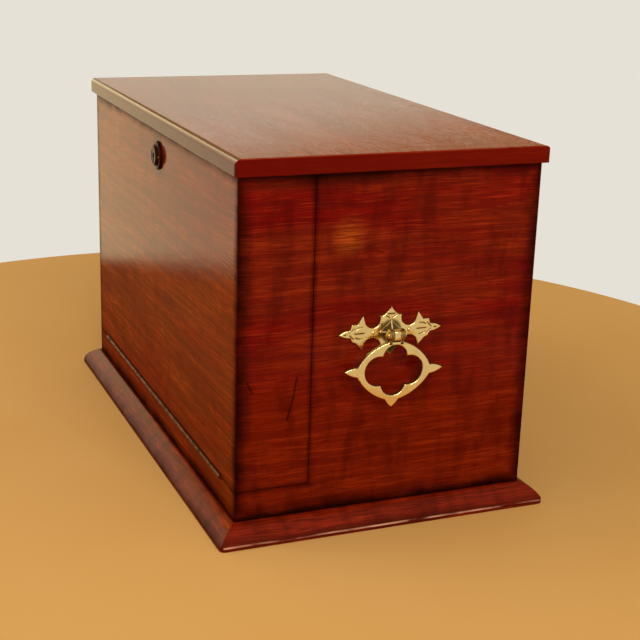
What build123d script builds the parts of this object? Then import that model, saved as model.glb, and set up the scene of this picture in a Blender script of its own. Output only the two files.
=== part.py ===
"""Mahogany writing slope: a square-sided box with a level lid and a fall front.

Millimetres, +Z up, width along X, the fall front faces -Y. The origin is on the
table, under the middle of the box. All pieces are drawn closed and unlocked.
"""
from build123d import *
import os

# Overall sizes of the box, without plinth and lid
body_width = 390.0
body_depth = 223.0
body_height = 255.0
board = 11.0
corner_radius = 1.4

# Lid
lid_thickness = 12.1
lid_overhang_side = 5.0
lid_overhang_front = 3.7
lid_overhang_back = 3.0
lid_front_radius = 4.2
lid_side_radius = 1.1
lid_bottom_radius = 1.0
lid_corner_radius = 2.2

# Plinth moulding
plinth_height = 14.3
plinth_projection = 14.3
plinth_edge = 2.5
plinth_lip = 1.6
plinth_swell = 1.1
plinth_corner_radius = 4.0

# Fall front: where it parts from the box
wing_depth = 54.0
seam_height = 36.0
seam_gap = 0.3
seam_corner_radius = 2.5
fall_top_gap = 0.45

# Bottom of the box
base_thickness = 8.0
base_recess = 3.0

# Writing surface inside the fall front
leather_thickness = 0.8
writing_board = 6.0
leather_setback = 0.15
flap_height = 149.0
flap_gap = 0.4
flap_side_gap = 0.8
fall_rail = 8.0
fall_top_rail_height = 9.2
batten = 6.0
rest_lip_depth = 7.0
rest_lip_height = 6.0
tab_width = 18.0
tab_length = 17.0

# Hinges: lid, fall front and writing flap
pin_clearance = 0.03
knuckle_gap = 0.3
leaf_gap = 0.2
barrel_relief = 0.35

lid_hinge_length = 62.0
lid_hinge_x = 122.0
lid_hinge_axis_out = 1.5
lid_leaf = 1.2
lid_leaf_width = 11.5
lid_barrel = 2.1
lid_hinge_pin = 0.95
lid_knuckles = 5

fall_hinge_length = 332.0
fall_hinge_axis_out = 0.5
fall_leaf = 0.7
fall_leaf_width = 10.0
fall_barrel = 1.5
fall_hinge_pin_radius = 0.7
fall_knuckles = 23

flap_hinge_length = 44.0
flap_hinge_x = 118.0
flap_leaf = 0.7
flap_leaf_width = 6.2
flap_barrel = 1.3
flap_hinge_pin_radius = 0.6
flap_knuckles = 5

# Screws
screw_head = 2.0
screw_shank = 1.0
screw_length = 7.5
screw_slot = 0.5
screw_clearance = 0.04
small_screw_head = 1.5
small_screw_shank = 0.7
small_screw_length = 5.0

# Lock, in the top edge of the fall front
lock_x = 8.0
keyhole_below_top = 20.0
lock_case_half_width = 26.5
lock_case_depth = 8.1
lock_case_height = 33.0
lock_wall = 1.5
selvage_half_width = 31.0
selvage_depth = 9.2
selvage_thickness = 1.5
loop_offset = 14.0
loop_thickness = 2.0
loop_width = 5.0
loop_drop = 9.0
loop_hole = 1.9
loop_front_gap = 4.2
loop_slot_clearance = 0.45
link_plate_half_width = 28.0
link_plate_depth = 10.5
link_plate_thickness = 1.3
bolt_travel = 5.5
bolt_finger = 1.35
bolt_rail = 4.0
bolt_upright = 2.7
bolt_rest_gap = 1.6
bolt_stop_gap = 0.3
key_post = 1.0

# Escutcheon
escutcheon_radius = 11.0
escutcheon_flange = 2.2
escutcheon_boss_radius = 7.4
escutcheon_boss = 2.2
keyhole_radius = 2.2
keyhole_slot_width = 2.2
keyhole_slot_length = 6.0
brad_radius = 0.6
brad_head = 1.4
brad_length = 6.0
escutcheon_brad_head = 1.1
escutcheon_brad_offset = 9.2

# Drop handles, one on each end
handle_z = 142.5
handle_out = 10.5
plate_thickness = 1.8
plate_half_width = 38.8
stud_boss_radius = 6.6
stud_boss = 3.6
stud_post = 2.4
stud_eye = 3.9
stud_eye_width = 5.0
stud_shank = 2.2
drop_thickness = 3.6
drop_ear = 4.2
drop_ear_width = 2.8
drop_side_gap = 0.25
drop_half_width = 37.2
handle_pin_radius = 1.5
handle_pin_head = 2.4
nut_radius = 5.0
nut_thickness = 3.5
plate_brad_offset = 13.6

# Inside fittings
pen_tray_below_seam = 3.0
pen_tray_scoop = 20.0
pen_tray_scoop_rise = 7.6
pen_tray_end = 6.0
fitting_gap = 0.3
partition = 5.0
ink_wall_gap = 1.5
ink_wall_height = 34.0
ink_cell_depth = 46.0
ink_cell_width = 55.5
rack_back_room = 1.5
rack_heights = (80.0, 112.0, 160.0, 200.0)
rack_arch = 9.0

# Inkwells
ink_side = 42.0
ink_height = 38.0
ink_edge = 2.5
ink_bore = 13.0
ink_bore_depth = 29.0
collar_radius = 16.0
collar_bore = 12.6
collar_height = 3.4
cap_radius = 15.6
cap_height = 4.4
cap_gap = 0.25
cap_hinge_out = 1.9
cap_barrel = 1.4
cap_pin = 0.6
cap_knuckle = 4.0

# Places worked out from the sizes
half_width = body_width / 2
inner_x = half_width - board
front_y = -body_depth / 2
back_y = body_depth / 2
inner_front = front_y + board
inner_back = back_y - board
wing_back = front_y + wing_depth
fall_bottom = seam_height + seam_gap / 2
fall_top = body_height - fall_top_gap
rail_top = seam_height - seam_gap / 2
floor_z = base_recess + base_thickness
lid_axis_y = back_y + lid_hinge_axis_out
fall_axis_y = front_y - fall_hinge_axis_out
leather_y = wing_back - seam_gap / 2 - leather_setback
board_face_y = leather_y - leather_thickness
board_back_y = board_face_y - writing_board
ink_wall_y = wing_back + ink_wall_gap
rack_start_y = ink_wall_y + partition + ink_cell_depth
rack_pitch = (inner_back - rack_start_y - rack_back_room) / len(rack_heights)
top_rail_bottom = fall_top - fall_top_rail_height
keyhole_z = body_height - keyhole_below_top
escutcheon_brad_length = board - lock_case_depth - 0.5
lock_inner_y = inner_front
loop_front_y = front_y + loop_front_gap
loop_hole_z = body_height - loop_drop + loop_hole + 1.7
handle_x = half_width + handle_out


def block(x0, x1, y0, y1, z0, z1):
    """Box between two corners."""
    middle = Pos((x0 + x1) / 2, (y0 + y1) / 2, (z0 + z1) / 2)
    return middle * Box(x1 - x0, y1 - y0, z1 - z0)


def rod_x(x0, x1, y, z, radius):
    """Round bar along X."""
    return Pos((x0 + x1) / 2, y, z) * Rot(0, 90, 0) * Cylinder(radius, x1 - x0)


def rod_y(x, y0, y1, z, radius):
    """Round bar along Y."""
    return Pos(x, (y0 + y1) / 2, z) * Rot(90, 0, 0) * Cylinder(radius, y1 - y0)


def rod_z(x, y, z0, z1, radius):
    """Round bar along Z."""
    return Pos(x, y, (z0 + z1) / 2) * Cylinder(radius, z1 - z0)


def plan_prism(points, z0, z1):
    """Upright prism on a plan outline."""
    face = make_face(Polyline(*points, close=True))
    return Pos(0, 0, z0) * extrude(face, amount=z1 - z0)


def body_envelope():
    """The outside of box and fall front, with its eased upright corners."""
    solid = block(-half_width, half_width, front_y, back_y, 0, body_height)
    return fillet(solid.edges().filter_by(Axis.Z), corner_radius)


def mitred_end_board(z0, z1):
    """Right-hand end board with a mitre at both upright corners."""
    outline = [
        (half_width, front_y),
        (half_width, back_y),
        (inner_x, inner_back),
        (inner_x, inner_front),
    ]
    return plan_prism(outline, z0, z1)


def mitred_front_board(z0, z1):
    """Board across the front with a mitre at both ends."""
    outline = [
        (-half_width, front_y),
        (half_width, front_y),
        (inner_x, inner_front),
        (-inner_x, inner_front),
    ]
    return plan_prism(outline, z0, z1)


def wing_space(extra, corner):
    """Room that the wings of the fall front take, grown by a clearance."""
    solid = block(
        -half_width - 1,
        half_width + 1,
        front_y - 1,
        wing_back + extra,
        seam_height - extra,
        body_height + 1,
    )
    rear_low = solid.edges().filter_by(Axis.X).sort_by(Axis.Y)[-2:].sort_by(Axis.Z)[0]
    return fillet(rear_low, corner)


def screw(head, shank, length):
    """Slotted countersunk screw, head up, its top at the origin."""
    head_height = head - shank
    cone = Pos(0, 0, -head_height / 2) * Cone(shank, head, head_height)
    stem = Pos(0, 0, -length / 2) * Cylinder(shank, length)
    slot = block(-head, head, -screw_slot / 2, screw_slot / 2, -head_height * 0.55, 1)
    return cone + stem - slot


def screw_hole(head, shank, length):
    """Space that a countersunk screw takes, with its clearance."""
    gap = screw_clearance
    head_height = head - shank
    cone = Pos(0, 0, -head_height / 2) * Cone(shank + gap, head + gap, head_height)
    stem = Pos(0, 0, -length / 2) * Cylinder(shank + gap, length + 2 * gap)
    return cone + stem


def turned(profile):
    """Turned piece about Z from half its section, drawn as radius and height."""
    return revolve(Plane.XZ * make_face(profile), axis=Axis.Z)


def brad(radius, head, length):
    """Round-headed pin, standing on the origin with its head up."""
    crown = head * 0.8
    flat = head * 0.3
    stem = Polyline((flat, crown), (0, crown), (0, -length), (radius, -length), (radius, 0), (head, 0))
    dome = ThreePointArc((head, 0), (head * 0.8, crown * 0.7), (flat, crown))
    return turned(stem + dome)


def hinge_leaf(size, upper):
    """Leaf with its knuckles: pin axis along X at the origin, leaf towards -Y."""
    side = 1 if upper else -1
    low, high = sorted((side * leaf_gap / 2, side * (leaf_gap / 2 + size["leaf"])))
    half = size["length"] / 2
    relief = size["barrel"] + barrel_relief
    leaf = block(-half, half, -size["width"], -relief, low, high)
    pitch = size["length"] / size["knuckles"]
    reach = (pitch - knuckle_gap) / 2
    for index in range(size["knuckles"]):
        if (index % 2 == 1) != upper:
            continue
        x = -half + (index + 0.5) * pitch
        leaf += rod_x(x - reach, x + reach, 0, 0, size["barrel"])
        leaf += block(x - reach, x + reach, -relief, 0, low, high)
    leaf -= rod_x(-half - 1, half + 1, 0, 0, size["pin"] + pin_clearance)
    for x, y in screw_places(size):
        flip = Pos(x, y, side * leaf_gap / 2) * Rot(180 if upper else 0, 0, 0)
        leaf -= flip * screw_hole(size["head"], size["shank"], size["screw"])
    return leaf


def hinge_pin(size):
    """Pin through all the knuckles of a hinge."""
    half = size["length"] / 2
    return rod_x(-half, half, 0, 0, size["pin"])


def screw_places(size):
    """Screw centres on a leaf, in the hinge's own frame."""
    count = size["screws"]
    pitch = size["length"] / count
    y = -(size["barrel"] + barrel_relief + size["width"]) / 2
    return [(-size["length"] / 2 + (index + 0.5) * pitch, y) for index in range(count)]


def hinge_screws(size, upper):
    """Screws of one leaf, as separate solids."""
    side = 1 if upper else -1
    tool = Rot(180 if upper else 0, 0, 0) * screw(size["head"], size["shank"], size["screw"])
    return [Pos(x, y, side * leaf_gap / 2) * tool for x, y in screw_places(size)]


def hinge_seat(size, upper):
    """Room for a leaf, its screws and the barrel, cut in the wood."""
    side = 1 if upper else -1
    low, high = sorted((0, side * (leaf_gap / 2 + size["leaf"])))
    half = size["length"] / 2
    relief = size["barrel"] + barrel_relief
    seat = block(-half, half, -size["width"], 0, low, high)
    seat += rod_x(-half - knuckle_gap, half + knuckle_gap, 0, 0, relief)
    for x, y in screw_places(size):
        flip = Pos(x, y, side * leaf_gap / 2) * Rot(180 if upper else 0, 0, 0)
        seat += flip * screw_hole(size["head"], size["shank"], size["screw"])
    return seat


lid_hinge = {
    "length": lid_hinge_length,
    "width": lid_leaf_width,
    "leaf": lid_leaf,
    "barrel": lid_barrel,
    "pin": lid_hinge_pin,
    "knuckles": lid_knuckles,
    "screws": 3,
    "head": screw_head,
    "shank": screw_shank,
    "screw": screw_length,
}
fall_hinge = {
    "length": fall_hinge_length,
    "width": fall_leaf_width,
    "leaf": fall_leaf,
    "barrel": fall_barrel,
    "pin": fall_hinge_pin_radius,
    "knuckles": fall_knuckles,
    "screws": 9,
    "head": small_screw_head,
    "shank": small_screw_shank,
    "screw": small_screw_length,
}
flap_hinge = {
    "length": flap_hinge_length,
    "width": flap_leaf_width,
    "leaf": flap_leaf,
    "barrel": flap_barrel,
    "pin": flap_hinge_pin_radius,
    "knuckles": flap_knuckles,
    "screws": 3,
    "head": small_screw_head,
    "shank": small_screw_shank,
    "screw": small_screw_length,
}
lid_hinge_frames = [Pos(side * lid_hinge_x, lid_axis_y, body_height) for side in (-1, 1)]
fall_hinge_frame = Pos(0, fall_axis_y, seam_height) * Rot(0, 0, 180)
flap_hinge_frames = [Pos(side * flap_hinge_x, leather_y, flap_height) for side in (-1, 1)]


def placed(frames, solids):
    """The same solids at each of several places."""
    return [frame * solid for frame in frames for solid in solids]


def cut_all(solid, tools):
    """A solid less each of several tools."""
    for tool in tools:
        solid -= tool
    return solid


def keyhole(y0, y1):
    """Keyhole along Y: a round eye over a slot."""
    eye = rod_y(lock_x, y0, y1, keyhole_z, keyhole_radius)
    slot = block(
        lock_x - keyhole_slot_width / 2,
        lock_x + keyhole_slot_width / 2,
        y0,
        y1,
        keyhole_z - keyhole_slot_length,
        keyhole_z,
    )
    return eye + slot


# Box

def side_board():
    """Right end board, stepped down in front where the wing of the fall meets it."""
    solid = mitred_end_board(0, body_height) & body_envelope()
    solid -= wing_space(seam_gap / 2, seam_corner_radius + seam_gap)
    solid -= rod_x(inner_x - 1, half_width + 1, 0, handle_z, stud_shank + screw_clearance)
    for y in (-plate_brad_offset, plate_brad_offset):
        solid -= rod_x(half_width - brad_length, half_width + 1, y, handle_z, brad_radius)
    return solid


def back_board():
    """Back board, mitred to the ends, with the seats of the lid hinges."""
    board_solid = mirror(mitred_front_board(0, body_height), Plane.XZ) & body_envelope()
    return cut_all(board_solid, placed(lid_hinge_frames, [hinge_seat(lid_hinge, False)]))


def front_rail():
    """Low fixed rail under the fall front, with the seat of its hinge."""
    rail = mitred_front_board(0, rail_top) & body_envelope()
    return rail - fall_hinge_frame * hinge_seat(fall_hinge, False)


def base_board():
    """Bottom board between the four sides."""
    return block(-inner_x, inner_x, inner_front, inner_back, base_recess, floor_z)


def plinth_profile():
    """Section of the plinth: distance out from the box, height."""
    outer_low = (plinth_projection, 0)
    outer_high = (plinth_projection, plinth_edge)
    lip = (plinth_lip, plinth_height)
    middle = (
        (plinth_projection + plinth_lip) / 2 + plinth_swell,
        (plinth_edge + plinth_height) / 2 + plinth_swell,
    )
    lines = Polyline((0, plinth_height), (0, 0), outer_low, outer_high)
    swell = ThreePointArc(outer_high, middle, lip)
    top = Line(lip, (0, plinth_height))
    return make_face(lines + swell + top)


def plinth_run(length, distance):
    """Straight moulding along X in front of a face at y = -distance."""
    profile = Plane(origin=(-length / 2, -distance, 0), x_dir=(0, -1, 0), z_dir=(-1, 0, 0))
    return extrude(profile * plinth_profile(), amount=-length)


def plinth_corners():
    """Rounded plan outline that all four mouldings keep inside."""
    reach_x = half_width + plinth_projection
    reach_y = back_y + plinth_projection
    solid = block(-reach_x, reach_x, -reach_y, reach_y, 0, plinth_height)
    return fillet(solid.edges().filter_by(Axis.Z), plinth_corner_radius)


def plinth_front():
    """Front moulding with mitred ends."""
    run = plinth_run(body_width + 2 * plinth_projection, back_y)
    outer = half_width + plinth_projection
    mitre = [
        (-outer, front_y - plinth_projection),
        (outer, front_y - plinth_projection),
        (half_width, front_y),
        (-half_width, front_y),
    ]
    return run & plan_prism(mitre, 0, plinth_height) & plinth_corners()


def plinth_side():
    """Moulding along the right end with mitred ends."""
    run = Rot(0, 0, 90) * plinth_run(body_depth + 2 * plinth_projection, half_width)
    outer = back_y + plinth_projection
    mitre = [
        (half_width + plinth_projection, -outer),
        (half_width + plinth_projection, outer),
        (half_width, back_y),
        (half_width, front_y),
    ]
    return run & plan_prism(mitre, 0, plinth_height) & plinth_corners()


# Lid

def lid_block():
    """The lid's plain block."""
    return block(
        -half_width - lid_overhang_side,
        half_width + lid_overhang_side,
        front_y - lid_overhang_front,
        back_y + lid_overhang_back,
        body_height,
        body_height + lid_thickness,
    )


def lid_moulded(axis, top_radius):
    """The lid's block with its edges along one axis rounded, above and below."""
    edges = lid_block().edges().filter_by(axis).sort_by(Axis.Z)
    solid = fillet(edges[2:], top_radius)
    edges = solid.edges().filter_by(axis).sort_by(Axis.Z)
    return fillet(edges[:2], lid_bottom_radius)


def lid_board():
    """Level lid, rounder in front and behind, with seats for hinges and link plate beneath."""
    plan = lid_block()
    plan = fillet(plan.edges().filter_by(Axis.Z), lid_corner_radius)
    solid = plan & lid_moulded(Axis.X, lid_front_radius) & lid_moulded(Axis.Y, lid_side_radius)
    solid = cut_all(solid, placed(lid_hinge_frames, [hinge_seat(lid_hinge, True)]))
    solid -= link_plate_block()
    for place in link_screw_places():
        solid -= place * screw_hole(small_screw_head, small_screw_shank, small_screw_length)
    return solid


def link_plate_block():
    """The flat of the link plate, let in flush under the lid's front edge."""
    y0 = inner_front - link_plate_depth + 0.6
    return block(
        lock_x - link_plate_half_width,
        lock_x + link_plate_half_width,
        y0,
        y0 + link_plate_depth,
        body_height,
        body_height + link_plate_thickness,
    )


def link_screw_places():
    """Places of the two screws of the link plate, driven upwards."""
    y = loop_front_y + loop_width / 2
    offset = link_plate_half_width - 5
    return [Pos(lock_x + side * offset, y, body_height) * Rot(180, 0, 0) for side in (-1, 1)]


def link_plate():
    """Link plate with two drilled loops that drop into the lock."""
    plate = link_plate_block()
    for side in (-1, 1):
        x = lock_x + side * loop_offset
        plate += block(
            x - loop_thickness / 2,
            x + loop_thickness / 2,
            loop_front_y,
            loop_front_y + loop_width,
            body_height - loop_drop,
            body_height,
        )
        y = loop_front_y + loop_width / 2
        plate -= rod_x(x - loop_thickness, x + loop_thickness, y, loop_hole_z, loop_hole)
    for place in link_screw_places():
        plate -= place * screw_hole(small_screw_head, small_screw_shank, small_screw_length)
    return plate


def link_screws():
    """The two screws of the link plate."""
    tool = screw(small_screw_head, small_screw_shank, small_screw_length)
    return [place * tool for place in link_screw_places()]


# Fall front

def fall_panel():
    """Front panel, with the seats of its hinge, the lock and the keyhole."""
    solid = mitred_front_board(fall_bottom, fall_top) & body_envelope()
    solid -= fall_hinge_frame * hinge_seat(fall_hinge, True)
    solid -= lock_case_block() + selvage_block()
    solid -= keyhole(front_y - 1, inner_front)
    for x in escutcheon_brad_places():
        solid -= rod_y(x, front_y - 1, front_y + escutcheon_brad_length, keyhole_z, brad_radius)
    return solid


def fall_wing():
    """Right wing of the fall front, mitred to the panel."""
    outline = [
        (half_width, front_y),
        (half_width, wing_back - seam_gap / 2),
        (inner_x, wing_back - seam_gap / 2),
        (inner_x, inner_front),
    ]
    solid = plan_prism(outline, fall_bottom, fall_top) & body_envelope()
    return solid & wing_space(-seam_gap / 2, seam_corner_radius)


def fall_bottom_rail():
    """Rail across the fall front beneath the writing board."""
    z0 = fall_bottom
    return block(-inner_x, inner_x, inner_front, board_back_y, z0, z0 + fall_rail)


def fall_top_rail():
    """Rail across the top with a lip that the flap rests on, cleared for the lock."""
    rail = block(-inner_x, inner_x, inner_front, leather_y, top_rail_bottom, fall_top)
    lip_back = board_back_y
    rail += block(
        -inner_x,
        inner_x,
        lip_back - rest_lip_depth,
        lip_back,
        top_rail_bottom - rest_lip_height,
        top_rail_bottom,
    )
    notch = block(
        lock_x - selvage_half_width,
        lock_x + selvage_half_width,
        inner_front - 1,
        inner_front + loop_drop + 3,
        top_rail_bottom - 1,
        fall_top + 1,
    )
    return rail - notch


def fall_battens():
    """Two strips on the wings that carry the writing board and the flap."""
    z0 = fall_bottom + fall_rail
    z1 = top_rail_bottom - rest_lip_height
    strip = block(inner_x - batten, inner_x, board_back_y - batten, board_back_y, z0, z1)
    return [strip, mirror(strip, Plane.YZ)]


def writing_board_fixed():
    """Fixed lower half of the writing surface."""
    solid = block(
        -inner_x, inner_x, board_back_y, board_face_y, fall_bottom, flap_height - flap_gap / 2
    )
    return cut_all(solid, placed(flap_hinge_frames, [hinge_seat(flap_hinge, False)]))


def writing_leather_fixed():
    """Leather laid on the fixed half."""
    margin = flap_side_gap
    solid = block(
        -inner_x + margin,
        inner_x - margin,
        board_face_y,
        leather_y,
        fall_bottom + margin,
        flap_height - flap_gap / 2,
    )
    return cut_all(solid, placed(flap_hinge_frames, [hinge_seat(flap_hinge, False)]))


def flap_board():
    """Hinged upper half of the writing surface."""
    solid = block(
        -inner_x + flap_side_gap,
        inner_x - flap_side_gap,
        board_back_y + fitting_gap,
        board_face_y,
        flap_height + flap_gap / 2,
        top_rail_bottom - flap_gap,
    )
    return cut_all(solid, placed(flap_hinge_frames, [hinge_seat(flap_hinge, True)]))


def flap_leather():
    """Leather laid on the flap."""
    solid = block(
        -inner_x + flap_side_gap,
        inner_x - flap_side_gap,
        board_face_y,
        leather_y,
        flap_height + flap_gap / 2,
        top_rail_bottom - flap_gap,
    )
    return cut_all(solid, placed(flap_hinge_frames, [hinge_seat(flap_hinge, True)]))


def flap_tab():
    """Leather pull tab glued to the free edge of the flap."""
    top = top_rail_bottom - flap_gap
    half = tab_width / 2
    strap = block(-half, half, leather_y, leather_y + leather_thickness, top - tab_length + half, top)
    end = rod_y(0, leather_y, leather_y + leather_thickness, top - tab_length + half, half)
    return strap + end


# Lock

def lock_case_block():
    """Outside of the lock case, let in from behind the panel."""
    return block(
        lock_x - lock_case_half_width,
        lock_x + lock_case_half_width,
        lock_inner_y - lock_case_depth,
        lock_inner_y,
        fall_top - lock_case_height,
        fall_top - selvage_thickness,
    )


def selvage_block():
    """Top plate of the lock, flush with the top edge of the fall front."""
    return block(
        lock_x - selvage_half_width,
        lock_x + selvage_half_width,
        lock_inner_y - selvage_depth,
        lock_inner_y,
        fall_top - selvage_thickness,
        fall_top,
    )


def lock_case():
    """Hollow lock case with its selvage, slots for the loops and the key post."""
    cavity = block(
        lock_x - lock_case_half_width + lock_wall,
        lock_x + lock_case_half_width - lock_wall,
        lock_inner_y - lock_case_depth + lock_wall,
        lock_inner_y - lock_wall,
        fall_top - lock_case_height + lock_wall,
        fall_top - selvage_thickness,
    )
    case = lock_case_block() + selvage_block() - cavity
    for side in (-1, 1):
        x = lock_x + side * loop_offset
        reach = loop_thickness / 2 + loop_slot_clearance
        case -= block(
            x - reach,
            x + reach,
            loop_front_y - loop_slot_clearance,
            lock_inner_y + 1,
            body_height - loop_drop - 2 * loop_slot_clearance,
            fall_top + 1,
        )
    case -= keyhole(lock_inner_y - lock_case_depth - 1, lock_inner_y - lock_wall - 0.1)
    case += rod_y(
        lock_x, lock_inner_y - lock_case_depth, lock_inner_y - lock_wall, keyhole_z, key_post
    )
    return case


def lock_bolt():
    """Sliding bolt: a bar with two hooked fingers, drawn back from the loops."""
    y_middle = loop_front_y + loop_width / 2
    y0 = y_middle - bolt_rail / 2
    y1 = y_middle + bolt_rail / 2
    bar_z = keyhole_z + keyhole_radius + 0.8
    bolt = None
    for side in (-1, 1):
        loop_left = lock_x + side * loop_offset - loop_thickness / 2
        tip = loop_left - bolt_rest_gap
        root = loop_left - bolt_travel - bolt_stop_gap
        finger = rod_x(root, tip, y_middle, loop_hole_z, bolt_finger)
        upright = block(root - bolt_upright, root, y0, y1, bar_z, loop_hole_z + bolt_finger)
        bolt = finger + upright if bolt is None else bolt + finger + upright
    left = lock_x - loop_offset - loop_thickness / 2 - bolt_travel - bolt_stop_gap - bolt_upright
    right = lock_x + loop_offset - loop_thickness / 2 - bolt_travel - bolt_stop_gap
    bolt += block(left, right, y0, y1, bar_z, bar_z + bolt_rail)
    return bolt


def escutcheon_brad_places():
    """Where the two pins of the escutcheon go, along X."""
    return [lock_x - escutcheon_brad_offset, lock_x + escutcheon_brad_offset]


def escutcheon():
    """Turned round escutcheon with a raised, drilled boss."""
    flange = rod_y(lock_x, front_y - escutcheon_flange, front_y, keyhole_z, escutcheon_radius)
    front = flange.faces().sort_by(Axis.Y)[0]
    flange = fillet(front.edges(), escutcheon_flange * 0.6)
    top = front_y - escutcheon_flange
    boss = rod_y(lock_x, top - escutcheon_boss, top, keyhole_z, escutcheon_boss_radius)
    boss = fillet(boss.faces().sort_by(Axis.Y)[0].edges(), escutcheon_boss * 0.5)
    solid = flange + boss - keyhole(top - escutcheon_boss - 1, front_y + 1)
    for x in escutcheon_brad_places():
        solid -= rod_y(x, top - 1, front_y + 1, keyhole_z, brad_radius)
    return solid


def escutcheon_brads():
    """The two round-headed pins of the escutcheon."""
    pin = brad(brad_radius, escutcheon_brad_head, escutcheon_brad_length + escutcheon_flange)
    facing = Rot(90, 0, 0)
    y = front_y - escutcheon_flange
    return [Pos(x, y, keyhole_z) * facing * pin for x in escutcheon_brad_places()]


# Drop handles

def half_outline(unit, start, steps):
    """Half of a casting's outline in steps: the end of a line, or an arc's middle and end."""
    here = (unit * start[0], unit * start[1])
    edges = []
    for step in steps:
        points = [(unit * u, unit * v) for u, v in step]
        if len(points) == 1:
            edges.append(Line(here, points[0]))
        else:
            edges.append(ThreePointArc(here, points[0], points[1]))
        here = points[-1]
    return edges


def plate_outline():
    """Half of the back plate from the top point round to the bottom, in hundredths of its reach."""
    steps = [
        ((7.5, 36.6), (16.2, 29.9)),
        ((22.2, 30.4),),
        ((36.6, 8.6), (49.5, 19.0)),
        ((53.8, 33.0),),
        ((60.4, 22.8), (64.2, 17.4)),
        ((75.6, 17.4),),
        ((76.6, 12.2), (77.8, 7.9)),
        ((90.0, 5.8), (100.0, 0.0)),
        ((90.0, -5.4), (77.3, -7.7)),
        ((75.6, -11.8), (74.2, -15.1)),
        ((67.0, -18.2),),
        ((61.6, -23.8), (54.6, -31.0)),
        ((50.2, -19.0),),
        ((37.1, -10.9), (19.1, -24.7)),
        ((0.0, -44.3),),
    ]
    return half_outline(plate_half_width / 100, (0.0, 46.9), steps)


def symmetric_face(half_edges):
    """Face from half an outline and its mirror image across the upright axis."""
    edges = list(half_edges)
    edges += [mirror(edge, Plane.YZ) for edge in half_edges]
    return make_face(edges)


def end_plane(x):
    """Drawing plane on the right end: across is +Y, up is +Z, out is +X."""
    return Plane(origin=(x, 0, handle_z), x_dir=(0, 1, 0), z_dir=(1, 0, 0))


def handle_plate():
    """Cast back plate with leaf ends, drilled for stud and pins."""
    face = symmetric_face(plate_outline())
    solid = extrude(end_plane(half_width) * face, amount=plate_thickness)
    out = half_width + plate_thickness
    solid -= rod_x(half_width - 1, out + 1, 0, handle_z, stud_shank + screw_clearance)
    for y in (-plate_brad_offset, plate_brad_offset):
        solid -= rod_x(half_width - 1, out + 1, y, handle_z, brad_radius)
    return solid


def handle_stud():
    """Stud with a domed collar, an eye at its end and a shank through the board."""
    foot = half_width + plate_thickness
    shank_end = -(board + plate_thickness + nut_thickness + 1)
    post_end = handle_x - foot
    stem = Polyline(
        (0, post_end),
        (0, shank_end),
        (stud_shank, shank_end),
        (stud_shank, 0),
        (stud_boss_radius, 0),
    )
    dome = ThreePointArc((stud_boss_radius, 0), (5.2, 2.6), (stud_post, stud_boss))
    post = Polyline((stud_post, stud_boss), (stud_post, post_end), (0, post_end))
    solid = Pos(foot, 0, handle_z) * Rot(0, 90, 0) * turned(stem + dome + post)
    half_eye = stud_eye_width / 2
    solid += rod_y(handle_x, -half_eye, half_eye, handle_z, stud_eye)
    return solid - rod_y(handle_x, -9, 9, handle_z, handle_pin_radius + pin_clearance)


def handle_nut():
    """Hexagonal nut on the stud, inside the box."""
    plane = Plane(origin=(inner_x, 0, handle_z), x_dir=(0, 1, 0), z_dir=(-1, 0, 0))
    solid = extrude(plane * RegularPolygon(nut_radius, 6), amount=nut_thickness)
    return solid - rod_x(inner_x - 9, inner_x + 9, 0, handle_z, stud_shank + screw_clearance)


def handle_brads():
    """Two round-headed pins through the back plate."""
    pin = brad(brad_radius, brad_head, brad_length + plate_thickness)
    facing = Rot(0, 90, 0)
    x = half_width + plate_thickness
    return [Pos(x, side * plate_brad_offset, handle_z) * facing * pin for side in (-1, 1)]


def drop_outline():
    """Half of the drop from the top down to the point, in hundredths of its reach."""
    steps = [
        ((11.8, -12.6),),
        ((41.4, -25.0), (73.1, -59.1)),
        ((87.1, -60.8), (100.0, -66.4)),
        ((88.2, -73.7), (73.4, -78.0)),
        ((52.7, -102.7), (13.7, -124.2)),
        ((7.3, -133.1), (0.0, -139.5)),
    ]
    return half_outline(drop_half_width / 100, (0.0, -12.6), steps)


def drop_opening():
    """Four-lobed opening of the drop, in hundredths of its reach."""
    unit = drop_half_width / 100
    lobes = ((30.2, -68.3, 28.4), (-30.2, -68.3, 28.4), (0.0, -42.8, 24.2), (0.0, -91.2, 25.0))
    discs = [Pos(unit * u, unit * v) * Circle(unit * radius) for u, v, radius in lobes]
    return discs[0] + discs[1:]


def handle_drop():
    """Pointed drop with a four-lobed opening, hung by two ears."""
    ring = symmetric_face(drop_outline()) - drop_opening()
    solid = extrude(end_plane(handle_x - drop_thickness / 2) * ring, amount=drop_thickness)
    inner = stud_eye_width / 2 + drop_side_gap
    outer = inner + drop_ear_width
    for side in (-1, 1):
        y0, y1 = sorted((side * inner, side * outer))
        ear = rod_y(handle_x, y0, y1, handle_z, drop_ear)
        root = block(
            handle_x - drop_thickness / 2,
            handle_x + drop_thickness / 2,
            y0,
            y1,
            handle_z - drop_ear - 2.4,
            handle_z,
        )
        solid += ear + root
    solid -= rod_y(handle_x, -inner, inner, handle_z, stud_eye + 2 * drop_side_gap)
    return solid - rod_y(handle_x, -20, 20, handle_z, handle_pin_radius + pin_clearance)


def handle_pin():
    """Riveted pin that the drop swings on."""
    reach = stud_eye_width / 2 + drop_side_gap + drop_ear_width + drop_side_gap
    pin = rod_y(handle_x, -reach - 1, reach + 1, handle_z, handle_pin_radius)
    for side in (-1, 1):
        y0, y1 = sorted((side * reach, side * (reach + 1)))
        pin += rod_y(handle_x, y0, y1, handle_z, handle_pin_head)
    return pin


# Inside fittings

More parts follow.
